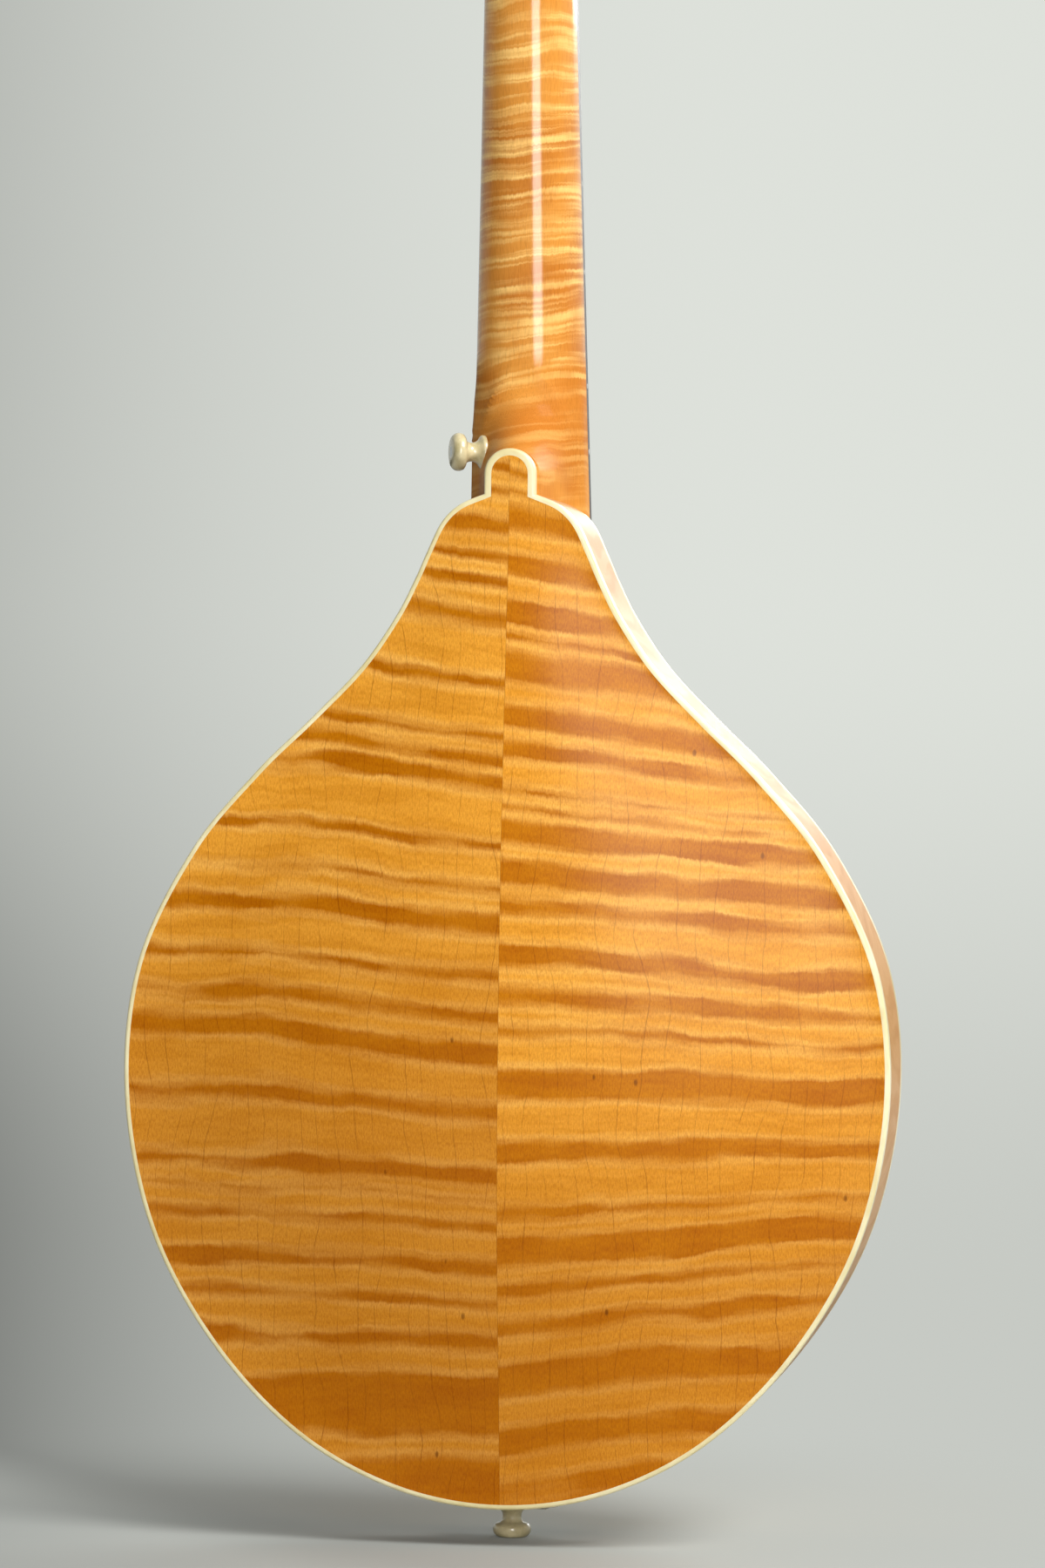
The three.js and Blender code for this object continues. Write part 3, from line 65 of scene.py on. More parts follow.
mm = 0.001
scale_length = 352
joint = scale_length * (1 - 2 ** (-14 / 12))
neck_lean = math.radians(5)
tail = -joint * math.cos(neck_lean) - 328.5
rim_front = 13 - joint * math.sin(neck_lean)
rim_back = rim_front + 46
body_width = 256.5
shoulder = 337
button_height, button_width = 15.2, 17
button_top, button_radius = shoulder + button_height, button_width / 2
binding_width, button_binding_width = 1.7, 2.4
edge_thickness, back_thickness, top_thickness = 5, 4.2, 4
arch_height = 14
crown = 0.423 * shoulder

# Points of the outline, as shares of half the body's width and of the shoulder's height. The first eleven were
# read by a program from a curve that it had fitted to the photograph's edges.
outline_shares = [
    (0.274, 0.017), (0.535, 0.069), (0.763, 0.158), (0.928, 0.271), (0.999, 0.405), (0.967, 0.534),
    (0.827, 0.646), (0.659, 0.724), (0.514, 0.778), (0.385, 0.829), (0.296, 0.878), (0.245, 0.916),
    (0.214, 0.943), (0.178, 0.9715), (0.132, 0.989),
]


def rgb(red, green, blue):
    """A colour as a screen shows it, from 0 to 255, in the values that a shader takes."""
    return tuple(((c / 255 + 0.055) / 1.055) ** 2.4 for c in (red, green, blue)) + (1.0,)


class Number:
    """A number that changes over a surface, held by the socket that gives it. A sum on it adds a Math node.

    A sum works from either side, because the number's operators are given to it in a loop below.
    """

    def __init__(self, nodes, socket):
        self.nodes, self.socket = nodes, socket

    def math(self, operation, *values):
        return self.nodes.number("ShaderNodeMath", {"operation": operation}, values)

    def size(self):
        return self.math("ABSOLUTE", self)

    def part(self):
        return self.math("FRACT", self)

    def root(self):
        return self.math("SQRT", self)

    def over(self, other):
        return self.math("GREATER_THAN", self, other)

    def at_least(self, other):
        return self.math("MAXIMUM", self, other)


for name, operation in (("add", "ADD"), ("sub", "SUBTRACT"), ("mul", "MULTIPLY"), ("truediv", "DIVIDE")):
    setattr(Number, f"__{name}__", lambda self, other, way=operation: self.math(way, self, other))
    setattr(Number, f"__r{name}__", lambda self, other, way=operation: self.math(way, other, self))


class Nodes:
    """A node tree that is being built."""

    def __init__(self, tree):
        self.tree = tree

    def node(self, kind, settings={}, inputs={}):
        made = self.tree.nodes.new(kind)
        for key, value in settings.items():
            setattr(made, key, value)
        for key, value in inputs.items() if isinstance(inputs, dict) else enumerate(inputs):
            value = value.socket if isinstance(value, Number) else value
            if isinstance(value, bpy.types.NodeSocket):
                self.tree.links.new(value, made.inputs[key])
            else:
                made.inputs[key].default_value = value
        return made

    def number(self, kind, settings={}, inputs={}):
        return Number(self, self.node(kind, settings, inputs).outputs[0])

    def vector(self, x=0.0, y=0.0, z=0.0):
        return self.node("ShaderNodeCombineXYZ", inputs=[x, y, z]).outputs[0]

    def parts(self, vector):
        split = self.node("ShaderNodeSeparateXYZ", inputs=[vector])
        return [Number(self, socket) for socket in split.outputs]

    def rise(self, value, low, high, start=0.0, end=1.0):
        """A smooth change from start to end while the value goes from low to high."""
        settings = {"interpolation_type": "SMOOTHSTEP"}
        return self.number("ShaderNodeMapRange", settings, [value, low, high, start, end])


class Finish(Nodes):
    """A material: one Principled shader, its constants, and the patterns that feed it, in millimetres."""

    def __init__(self, name, slot, **constants):
        self.material = bpy.data.materials.new(name)
        self.material.use_nodes = True
        super().__init__(self.material.node_tree)
        self.slot = slot
        self.shader = self.tree.nodes["Principled BSDF"]
        for key, value in constants.items():
            self.shader.inputs[key.replace("_", " ")].default_value = value
        place = self.node("ShaderNodeTexCoord").outputs["Object"]
        scaled = self.node("ShaderNodeVectorMath", {"operation": "SCALE"}, {0: place, "Scale": 1 / mm})
        self.x, self.y, self.z = self.parts(scaled.outputs[0])

    def spread(self):
        """How far along and across a bent strip a place is, from the strip's own map."""
        return self.parts(self.node("ShaderNodeUVMap").outputs[0])[:2]

    def noise(self, x, y, z, detail=2.0, roughness=0.5):
        inputs = {"Vector": self.vector(x, y, z), "Scale": 1.0, "Detail": detail, "Roughness": roughness}
        return self.number("ShaderNodeTexNoise", inputs=inputs)

    def mix(self, share, first, second, way="MIX"):
        """A colour between two, or the second laid on the first another way. A tuple is a screen's colour."""
        first, second = (rgb(*tone) if isinstance(tone, tuple) else tone for tone in (first, second))
        settings = {"data_type": "RGBA", "blend_type": way}
        return self.node("ShaderNodeMix", settings, {0: share, 6: first, 7: second}).outputs[2]

    def tint(self, share, tone, way="MIX"):
        """Lays a tone on the colour so far, by a share."""
        self.colour = self.mix(share, self.colour, tone, way)
        self.feed(Base_Color=self.colour)

    def stain(self, value, low, high, most, tone):
        """Darkens the colour so far by a tone, up to a share, while the value goes from low to high."""
        self.tint(self.rise(value, low, high, 0, most), tone, "MULTIPLY")

    def mottle(self, stretch, low, high, first, second, **grain):
        """Two tones that run into each other by a noise, stretched by so many millimetres each way."""
        cloud = self.noise(*(a / b for a, b in zip((self.x, self.y, self.z), stretch)), **grain)
        self.colour = first
        self.tint(self.rise(cloud, low, high), second)
        return cloud

    def feed(self, **sockets):
        for key, value in sockets.items():
            value = value.socket if isinstance(value, Number) else value
            self.tree.links.new(value, self.shader.inputs[key.replace("_", " ")])
        return self

    def bump(self, height, distance):
        inputs = {"Strength": 1.0, "Distance": distance * mm, "Height": height}
        return self.node("ShaderNodeBump", inputs=inputs).outputs[0]


def catmull(knots, steps):
    """A smooth line through points, whose ends are counted twice, as three.js draws a spline."""
    knots, line = [Vector(p) for p in knots], []
    for i in range(len(knots) - 1):
        a, b, c, d = knots[max(i - 1, 0)], knots[i], knots[i + 1], knots[min(i + 2, len(knots) - 1)]
        cube = 2 * b - 2 * c + (c - a) / 2 + (d - b) / 2
        square = 3 * c - 3 * b - (c - a) - (d - b) / 2
        line += [cube * t**3 + square * t**2 + (c - a) / 2 * t + b for t in (s / steps for s in range(steps))]
    return line + [knots[-1]]


def outline(steps):
    """Half the body's outline from the tail up to the shoulder: a smooth curve through the points above."""
    half = [(x * body_width / 2, z * shoulder) for x, z in outline_shares] + [(button_radius, shoulder)]
    return catmull([(-x, z) for x, z in reversed(half)] + [(0, 0)] + half, steps)[len(half) * steps:]


def quarter_turns(count):
    """The angles of a quarter of a circle, with both ends."""
    return [math.pi / 2 * k / count for k in range(count + 1)]


def inset(points, distance, button=None):
    """A half outline moved in by a distance, and by another one round the button, mitred at each point."""
    button = distance if button is None else button
    ring = [Vector((-points[1].x, points[1].y)), *points, Vector((-points[-2].x, points[-2].y))]
    sides = []
    for a, b in zip(ring, ring[1:]):
        away = button if max(a.y, b.y) > shoulder else distance
        sides.append((Vector((b.y - a.y, a.x - b.x)).normalized(), away))
    moved = []
    for p, (m, dm), (n, dn) in zip(points, sides, sides[1:]):
        turn = m.x * n.y - m.y * n.x
        straight = abs(turn) < 1e-3
        x = m.x * dm if straight else (dm * n.y - dn * m.y) / turn
        y = m.y * dm if straight else (dn * m.x - dm * n.x) / turn
        moved.append(Vector((p.x - x if p.x > 1e-6 else 0, p.y - y)))
    return moved


def whole(half):
    """A whole ring from its treble half, which starts and ends on the middle line."""
    return list(half) + [Vector((-p.x, p.y)) for p in half[-2:0:-1]]


def grid(rows, around=False, along=False):
    """Points and faces between rows. around closes each row, along joins the last row to the first."""
    count = len(rows[0])
    faces = []
    for r in range(len(rows) if along else len(rows) - 1):
        s = (r + 1) % len(rows)
        for c in range(count if around else count - 1):
            d = (c + 1) % count
            faces.append((r * count + c, r * count + d, s * count + d, s * count + c))
    return [p for row in rows for p in row], faces


def capped(rings):
    """A closed body through rings of points, flat at both ends."""
    points, faces = grid(rings, around=True)
    count = len(rings[0])
    last = len(points) - count
    return points, faces + [tuple(range(count)), tuple(range(last, last + count))]


def shaped(name, shells):
    """A mesh from shells of points and faces in millimetres, closed and facing outwards."""
    mesh = bmesh.new()
    spread = mesh.loops.layers.uv.new("strip")
    for points, faces, *maps in shells:
        vertices = [mesh.verts.new(Vector(p) * mm) for p in points]
        for face in faces:
            made = mesh.faces.new([vertices[i] for i in face])
            for loop, i in zip(made.loops, face):
                loop[spread].uv = maps[0][i] if maps else (0, 0)
    bmesh.ops.remove_doubles(mesh, verts=mesh.verts, dist=1e-6)
    bmesh.ops.recalc_face_normals(mesh, faces=mesh.faces)
    data = bpy.data.meshes.new(name)
    mesh.to_mesh(data)
    mesh.free()
    return data


def linked(name, data):
    """A new object in the scene."""
    made = bpy.data.objects.new(name, data)
    bpy.context.scene.collection.objects.link(made)
    return made


def dressed(name, data, finish, nodes=(), body="instrument", sharp=32):
    """An object of a mesh with its finish, which rides on a body if one is given and replaces CAD nodes."""
    data.shade_smooth()
    data.set_sharp_from_angle(angle=math.radians(sharp))
    data.materials.clear()
    data.materials.append(finish.material)
    made = linked(name, data)
    if body:
        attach(made, body)
    if nodes:
        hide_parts(*nodes)
    return made


def piece(name, shells, finish, nodes=(), body="instrument", sharp=32):
    """One object from shells, which rides on a body and replaces CAD nodes."""
    return dressed(name, shaped(name, shells), finish, nodes, body, sharp)


def swell(t, fullness=2.2, recurve=1.6):
    return 0 if t >= 1 else (1 - max(t, 0) ** fullness) ** recurve


def spine_swell(height):
    return swell((height - crown) / (shoulder - crown))


def carved(edge, middle, facing, rim, side, spine_top=math.inf, across=26):
    """A closed carved plate on one side of the seam, from its edge in to its spine."""
    shares = [math.sin(math.pi / 2 * c / across) ** 0.9 for c in range(across + 1)]
    thick = [middle + (edge_thickness - middle) * t**4 for t in shares]
    rows = []
    for p in edge:
        spine = min(max(p.y, crown), spine_top)
        places = [(side * p.x * t, tail + spine + (p.y - spine) * t, t) for t in shares]
        lift = arch_height * spine_swell(spine)
        outer = [(x, rim + facing * lift * swell(t), z) for x, z, t in places]
        inner = [(x, rim + facing * (lift * swell(t) - h), z) for (x, z, t), h in zip(places, thick)]
        rows.append(outer + inner[::-1])
    return capped(rows)


half_outline = outline(10)
half_outline[0] = Vector((0, 0))
button_arc = []
for angle in quarter_turns(12):
    up = button_top - button_radius * (1 - math.sin(angle))
    button_arc.append(Vector((button_radius * math.cos(angle), up)))
button_arc[-1].x = 0
back_half = half_outline + button_arc
top_half = half_outline + [Vector((0, shoulder))]

# Where the dark flame starts and ends along the seam, in whole millimetres up from the tail. The bands' edges
# were read from the photograph, and a program turned most of the readings into these heights.
flame_treble = [
    (10, 18), (24, 45), (53, 59), (67, 71), (78, 84), (93, 97), (103, 105), (109, 115), (130, 136),
    (148, 156), (162, 167), (175, 180), (191, 199), (205, 208), (219, 222), (238, 244), (246, 251),
    (255, 258), (272, 276), (292, 298), (305, 309), (314, 317), (323, 329), (336, 339), (344, 348),
]
flame_bass = [
    (5, 9), (18, 27), (37, 49), (58, 64), (71, 76), (81, 92), (97, 102), (116, 124), (137, 148),
    (158, 162), (168, 175), (181, 189), (198, 204), (208, 217), (222, 231), (233, 236), (239, 241),
    (250, 256), (260, 268), (275, 286), (289, 292), (294, 303), (310, 318), (325, 334), (337, 339),
    (342, 346),
]


def flame_edge(finish, height, bands, low, high, reach=40):
    """How far a height is from the nearest edge of the dark flame, above zero in light wood, by the bands."""
    ramp = finish.node("ShaderNodeValToRGB", inputs=[(height - low) / (high - low)])
    stops = ramp.color_ramp.elements
    stops.remove(stops[1])
    stops[0].color = (0.5, 0.5, 0.5, 1)
    for (start, end), (following, _) in zip(bands, bands[1:] + [(bands[-1][1] + 6, 0)]):
        for near, far, sign in ((start, end, -1), (end, following, 1)):
            centre, shade = (near + far) / 2, 0.5 + sign * (far - near) / 2 / reach
            if low < centre < high:
                stops.new((centre - low) / (high - low)).color = (shade, shade, shade, 1)
    return (Number(finish, ramp.outputs[0]) - 0.5) * reach


def flame_distance(finish, height, bands, lengths=5, overlap=12):
    """The same over the whole back, in lengths that meet in a band's middle, for a ramp holds few stops."""
    middles = [(start + end) / 2 for start, end in bands]
    whole_length = round(button_top)
    borders = [min(middles, key=lambda z: abs(z - whole_length * k / lengths)) for k in range(1, lengths)]
    ends = zip([0] + borders, borders + [whole_length])
    reads = [flame_edge(finish, height, bands, low - overlap, high + overlap) for low, high in ends]
    distance = reads[0]
    for border, before, after in zip(borders, reads, reads[1:]):
        distance = distance + (after - before) * height.over(border)
    return distance


def flamed(finish, z, across, bands, seed, lean_share, lean_from):
    """How far a place is from the edge of bookmatched flame, which drifts and tapers away from the seam."""
    away = across / 100
    fan = (z - lean_from) * lean_share * away
    broad = finish.noise(across / 95, seed, z / 70, detail=1) - 0.5
    near = finish.noise(across / 26, seed + 3, z / 22) - 0.5
    fray = finish.noise(across / 0.7, seed + 5, z / 9, roughness=0.6) - 0.5
    ripple = finish.noise(across / 8, seed + 6, z / 30) - 0.5
    drift = broad * finish.rise(away, 0.02, 0.8, 1, 16) + near * finish.rise(away, 0, 0.3, 1, 4)
    height = z + fan + drift + fray * 1.5 + ripple * finish.rise(away, 0, 0.15, 0.4, 1.4)
    taper = finish.noise(across / 38, seed + 8, height / 9) - 0.5
    streak = finish.noise(across / 30, seed + 9, height / 2.4, roughness=0.6) - 0.5
    thin = taper * finish.rise(away, 0.0, 0.7, 1, 8) + away * 0.5
    return flame_distance(finish, height, bands) + thin + streak * 2.6, height


def lacquered_maple(name, slot, gloss=0.2, haze=0.22):
    return Finish(name, slot, Roughness=0.42, Specular_IOR_Level=0.02, Coat_Weight=gloss, Coat_Roughness=haze)


def back_maple(hand, side, bands, tones, lean_share, lean_from, painted_shade_from):
    """Half the back's wood: its flame, finer stripes, painted shade at its lower end, growth lines, pores and
    flecks.
    """
    finish = lacquered_maple("flamed_back_" + hand, "flamed_maple")
    light, bright, dark, middle_tone = tones
    x, z = finish.x * side, finish.z - tail
    edge, height = flamed(finish, z, x, bands, 7.3 * side, lean_share, lean_from)
    soft = finish.noise(x / 30, side * 4, height / 12)
    low, high = finish.rise(soft, 0.35, 0.7, -1.2, -3.6), finish.rise(soft, 0.35, 0.7, 0.9, 2.2)
    figure = finish.rise(edge, low, high)
    lit = finish.mix(finish.rise(edge, 3.4, 0.7, 0, 0.7), light, bright)
    deep = finish.mix(finish.rise(soft, 0.35, 0.72, 0, 0.7), dark, middle_tone)
    finish.colour = finish.mix(figure, deep, lit)
    slow = finish.noise(x / 60, side * 2, z / 60)
    stripe = finish.noise(x / 34, side * 5, height / 4.6, roughness=0.6)
    finish.tint(finish.rise(stripe, 0.42, 0.62, 0, 0.36) + finish.rise(slow, 0.35, 0.7, 0, 0.2), middle_tone)
    # Painted shade: the wood darkens towards the lower end, from higher up on the treble half than on the bass
    # half.
    finish.tint(finish.rise(z, painted_shade_from, painted_shade_from - 130, 0, 0.42), (174, 98, 0))
    bend = finish.noise(x / 45, side, z / 60, detail=1) * 22
    wobble = finish.noise(x / 12, side, z / 9, detail=1) * 1.4
    line = ((x + bend + wobble) / 5.6).part() - 0.5
    faint = finish.noise(x / 5, side, z / 14, detail=1)
    ring = finish.rise(line.size(), 0.045, 0.0) * finish.rise(faint, 0.35, 0.65, 0.1, 0.42)
    finish.tint(ring, (140, 82, 22), "MULTIPLY")
    grain = finish.noise(finish.x / 0.45, 0, finish.z / 1.6, detail=3, roughness=0.75)
    finish.stain(grain, 0.35, 0.7, 0.45, (190, 128, 72))
    cells = {"Vector": finish.vector(x / 17, side * 3.3, z / 31), "Scale": 1.0, "Randomness": 1.0}
    finish.stain(finish.number("ShaderNodeTexVoronoi", {}, cells), 0.05, 0.02, 0.55, (96, 44, 16))
    finish.stain(x, 0.2, 0.06, 0.25, (110, 62, 16))
    ripple = finish.noise(finish.x / 9, finish.y / 9, finish.z / 9, detail=1)
    return finish.feed(Roughness=0.46 - figure * 0.08, Normal=finish.bump(ripple, 0.05))


back_edge = inset(back_half, binding_width, button_binding_width)
treble_tones = (236, 166, 56), (248, 190, 94), (176, 98, 0), (204, 128, 12)
bass_tones = (240, 168, 56), (250, 190, 92), (186, 106, 1), (210, 132, 12)
# The last number of each row is the height above the tail from which the painted shade at the lower end
# starts.
for hand, side, bands, tones, *lean_and_painted_shade in (
    ("treble", 1, flame_treble, treble_tones, -0.04, 20, 245),
    ("bass", -1, flame_bass, bass_tones, 0.12, 147, 180),
):
    shell = carved(back_edge, back_thickness, 1, rim_back, side, button_top - button_radius)
    finish = back_maple(hand, side, bands, tones, *lean_and_painted_shade)
    piece("back_half_" + hand, [shell], finish, ["back_plate_" + hand])

# The back's binding
# A strip of grained cream plastic let into the edge of the back and round the button, scraped flush with the
# plate and the ribs, and eased at its corner.

cream = Finish("cream_plastic", "ivoroid", Roughness=0.35, Coat_Weight=0.4, Coat_Roughness=0.12)
cream.mottle((30, 9, 30), 0.3, 0.7, (228, 214, 160), (242, 232, 190), detail=3)
cream.stain(cream.noise(cream.x / 6, cream.y / 0.35, cream.z / 6), 0.35, 0.7, 0.3, (226, 208, 158))


def binding(half, rim, facing, corner=0.9, turns=5):
    """A strip round an outline, from the rim plane in to the plate's edge, with its outer corner rounded."""
    eased = [(corner * (1 - math.cos(a)), corner * (1 - math.sin(a))) for a in quarter_turns(turns)]
    section = [(0, edge_thickness)] + eased
    rings = [(whole(inset(half, away)), deep) for away, deep in section]
    inner = whole(inset(half, binding_width, button_binding_width))
    rings += [(inner, 0), (inner, edge_thickness)]
    rows = [[(p.x, rim - facing * deep, tail + p.y) for p in ring] for ring, deep in rings]
    return grid(rows, around=True, along=True)


piece("binding_of_back", [binding(back_half, rim_back, 1)], cream, ["back_binding"])

# The ribs
# Two strips of flamed maple, bent over a hot iron to the outline. They meet at the tail and are let in beside
# the neck. Their flame stands across them, from back to top.

rib_thickness = 2.2


def rib(side):
    """A bent side with its length and depth as a UV map, in millimetres."""
    outer, inner = half_outline, inset(top_half, rib_thickness)[:-1]
    front, back = rim_front + edge_thickness, rim_back - edge_thickness
    rows = [
        [(side * p.x, y, tail + p.y) for p in points]
        for points, y in ((outer, front), (outer, back), (inner, back), (inner, front))
    ]
    along = [0]
    for a, b in zip(outer, outer[1:]):
        along.append(along[-1] + (b - a).length)
    points, faces = grid(rows, along=True)
    count = len(outer)
    faces += [tuple(r * count + c for r in range(4)) for c in (0, count - 1)]
    return points, faces, [(along[i % count], points[i][1]) for i in range(len(points))]


def rib_maple(hand, seed):
    finish = lacquered_maple("flamed_rib_" + hand, "flamed_maple", gloss=0.25, haze=0.3)
    u, v = finish.spread()
    slow = finish.noise(u / 60, v / 40, seed, detail=1) * 24
    flame = finish.noise((u + slow) / 7.5, v / 55, seed, detail=2.5)
    figure = finish.rise(flame, 0.38, 0.6)
    finish.colour = (186, 136, 80)
    finish.tint(figure, (196, 148, 92))
    finish.stain(finish.noise(u / 6, v / 1.1, seed), 0.35, 0.75, 0.12, (190, 124, 70))
    return finish.feed(Roughness=0.46 - figure * 0.08)


for hand, side in (("treble", 1), ("bass", -1)):
    piece("side_" + hand, [rib(side)], rib_maple(hand, 4.2 * side), ["rib_" + hand])

# The neck
# Flamed maple in one length with the peghead, stained a little redder than the body. Its round shaft sweeps
# out into the heel, which stands on the ribs under the button, and flattens behind the nut into the peghead.

lean = Matrix.Rotation(-neck_lean, 4, "X")
peghead_frame = lean @ Matrix.Translation((0, 3, 5)) @ Matrix.Rotation(-math.radians(14), 4, "X")
nut_half, board_spread = 15, 4.8
neck_face = 5.1
heel_cove = 24
heel_cap = lean.inverted() @ Vector((0, rim_back - edge_thickness - 0.1, tail + button_top))
heel_depth = heel_cap.y + 5
cap_distance = -heel_cap.z
cove_start = cap_distance - heel_cove
peghead_half_width, peghead_height, peghead_back, peghead_foot = 30, 138, 15.1, 17
flank_shares = [(0.55, 0.03), (0.7, 0.12), (0.93, 0.21), (1, 0.33), (0.95, 0.58), (0.91, 0.83), (0.95, 0.915)]
crest_shares = [(0.95, 0.915), (0.8, 0.955), (0.4, 0.975), (0, 1)]


def clamp(value, low=0.0, high=1.0):
    return min(max(value, low), high)


def smooth(value):
    """From 0 to 1 with a soft start and end."""
    value = clamp(value)
    return value * value * (3 - 2 * value)


def board_half(distance):
    return nut_half + board_spread * distance / joint


def shaft_depth(distance):
    return 15 + 2.5 * clamp(distance / cove_start)


def neck_back(distance):
    shaft = neck_face + shaft_depth(distance)
    along = clamp((distance - cove_start) / heel_cove)
    return shaft + (heel_depth - shaft) * (1 - math.sqrt(1 - along * along))


def neck_half(distance, y):
    """Half the neck's width at a distance down from the nut and a depth behind the fingerboard's face."""
    edge = board_half(distance)
    v = (y - neck_face) / shaft_depth(distance)
    shaft = edge * (1 - v**2.3) ** (1 / 2.3) if v < 1 else 0
    shaft_back = neck_face + shaft_depth(cove_start)
    q = clamp((y - shaft_back) / (heel_depth - shaft_back))
    apex = cove_start + heel_cove * math.sqrt(2 * q - q * q)
    deep = (y - neck_face) / (heel_depth - neck_face)
    wide = button_radius + (edge - button_radius) * max(0, 1 - deep) ** 1.1
    s = clamp((distance - apex) / (wide * (1.7 - 0.8 * q)))
    heel = wide * math.sqrt(1 - (1 - s) ** 2)
    return min(edge, (shaft**5 + heel**5) ** (1 / 5))


def outline_height(x):
    """How high the body's upper outline is above the tail at a distance from the middle."""
    upper = [p for p in top_half if p.y > crown]
    for a, b in zip(upper, upper[1:]):
        if b.x <= abs(x) <= a.x:
            return a.y + (b.y - a.y) * (a.x - abs(x)) / max(a.x - b.x, 1e-6)
    return crown


def width_at(points, height):
    """How far from the middle a half outline is at a height."""
    for a, b in zip(points, points[1:]):
        if a.y <= height <= b.y:
            return a.x + (b.x - a.x) * (height - a.y) / max(b.y - a.y, 1e-6)
    return 0


def closed_side(side):
    """A whole section from its treble side, from the front face to the back."""
    return side + [(0, side[-1][1])] + [(-x, y) for x, y in reversed(side)] + [(0, side[0][1])]


def settled(place):
    """A point of the neck kept under the button and just inside the ribs."""
    x, y, z = place
    y = min(y, rim_back - edge_thickness)
    return (x, y, max(z, tail + outline_height(x) - 1) if y > rim_front else z)


levels = 22
quarter = [math.sin(math.pi / 2 * k / levels) for k in range(levels + 1)]
shaft_stations = [-5, -2.5, 0] + [cove_start * k / 14 for k in range(1, 15)]
cove_stations = [cove_start + heel_cove * share for share in quarter[1:]]
cap_shares = (0.04, 0.12, 0.24, 0.4, 0.6, 0.8, 1, 1.3, 1.6, 2.2, 3.6)
cap_stations = [cap_distance + button_radius * share for share in cap_shares]
neck_rings = []
for distance in shaft_stations + cove_stations + cap_stations:
    depths = [neck_face + (neck_back(distance) - neck_face) * share for share in quarter]
    side = [(board_half(distance), neck_face)] + [(neck_half(distance, y), y) for y in depths[1:]]
    neck_rings.append([settled(lean @ Vector((x, y, -distance))) for x, y in closed_side(side)])

flank, crest = (
    catmull([(x * peghead_half_width, z * peghead_height) for x, z in shares], steps)
    for shares, steps in ((flank_shares, 6), (crest_shares, 5))
)
peghead_half = [Vector((nut_half, 0))] + flank + crest[1:]
peghead_full = [Vector((0, 0))] + peghead_half
throat_rings = []
for share in (1.04, 0.97, 0.9, 0.82, 0.74, 0.66, 0.58, 0.5, 0.44, 0.38):
    round_share = 2.3 + (9 - 2.3) * smooth(share)
    back = peghead_back - 0.1 + 1.6 * (1 - share) ** 2
    wide = width_at(peghead_half, peghead_foot * share) - 0.1
    side = [(wide * (1 - v**round_share) ** (1 / round_share), 2 + (back - 2) * v) for v in quarter]
    throat_rings.append([peghead_frame @ Vector((x, y, peghead_foot * share)) for x, y in closed_side(side)])


def peghead_ring(away):
    """The peghead's outline moved in by a distance, above its foot."""
    moved = inset(peghead_full, away)
    first = next(k for k, p in enumerate(peghead_full) if p.y > peghead_foot)
    return [Vector((0, peghead_foot)), Vector((moved[first].x, peghead_foot)), *moved[first + 1:]]


def slab(rings, depths, turn):
    """A plate through upright outlines, each at its depth, turned into its frame."""
    return capped([[turn @ Vector((p.x, y, p.y)) for p in whole(ring)] for ring, y in zip(rings, depths)])


eased_shares = (0, 0.5, 0.7, 0.8, 0.87, 0.92, 0.955, 0.98)
eased = [(22 * (1 - (1 - v**9) ** (1 / 9)), 2 + 13.1 * v) for v in eased_shares]
eased.append((6, peghead_back))
peghead_wood = slab([peghead_ring(away) for away, _ in eased], [y for _, y in eased], peghead_frame)
lower_edge = [p for p in back_edge if p.y <= shoulder]


def top_height(x, height):
    """Where the top's face is, at a place across and up from the tail."""
    if height >= crown:
        edge = next(a for a, b in zip(back_edge, back_edge[1:]) if a.y <= height <= b.y)
        return rim_front - arch_height * spine_swell(height) * swell(abs(x) / max(edge.x, 1e-6))
    low, high = 1 - height / crown, 1
    for _ in range(24):
        t = (low + high) / 2
        reach = width_at(lower_edge, crown - (crown - height) / t) * t
        low, high = (t, high) if reach < abs(x) else (low, t)
    return rim_front - arch_height * swell(max(low, 1 - height / crown))


tongue_start, tongue_length = joint - 4.5, 46.5
tongue_rows = []
for distance in [tongue_start + tongue_length * k / 12 for k in range(13)]:
    face, under = [], []
    for x_share in (-1, -0.5, 0, 0.5, 1):
        foot = lean @ Vector((x_share * (board_half(distance) - 1.2), neck_face, -distance))
        deep = min(top_height(foot.x, min(foot.z - tail, shoulder - 1)) + 1.5, foot.y + 13)
        face.append(tuple(foot))
        under.append((foot.x, max(deep, foot.y + 0.5), foot.z))
    tongue_rows.append(face + under[::-1])


def neck_maple():
    """The neck's wood: flamed along the shaft, plainer at the heel, where its lacquer is rubbed dull."""
    finish = lacquered_maple("flamed_neck", "neck_maple", gloss=1.0, haze=0.12)
    x, y, z = finish.x, finish.y, finish.z
    run = z + x * 0.14
    drift = finish.noise(x / 26, y / 26, z / 30, detail=1) * 7
    fray = finish.noise(x / 0.8, y / 0.8, z / 8) * 1.2
    flame = finish.noise(x / 60, y / 60, (run + drift + fray) / 2.7, roughness=0.6)
    strength = finish.noise(x / 12, y / 12, z / 16, detail=1)
    plain = finish.rise(z, -138, -158, 1, 0.35)
    figure = finish.rise(flame, 0.4, 0.68) * finish.rise(strength, 0.3, 0.6, 0.45, 1) * plain
    finish.mottle((30, 30, 24), 0.35, 0.65, (202, 124, 46), (222, 148, 62), detail=1)
    finish.tint(figure, (255, 206, 122))
    grain = finish.noise(x / 0.3, y / 0.3, z / 6, detail=3, roughness=0.65)
    finish.stain(grain, 0.4, 0.75, 0.25, (150, 86, 40))
    rubbed = finish.rise(z, -144, -137, 0.03, 1.0)
    return finish.feed(Roughness=0.44 - figure * 0.08, Coat_Weight=rubbed)


neck_shells = [capped(throat_rings + neck_rings), peghead_wood, capped(tongue_rows)]
piece("neck_wood", neck_shells, neck_maple(), ["neck"])

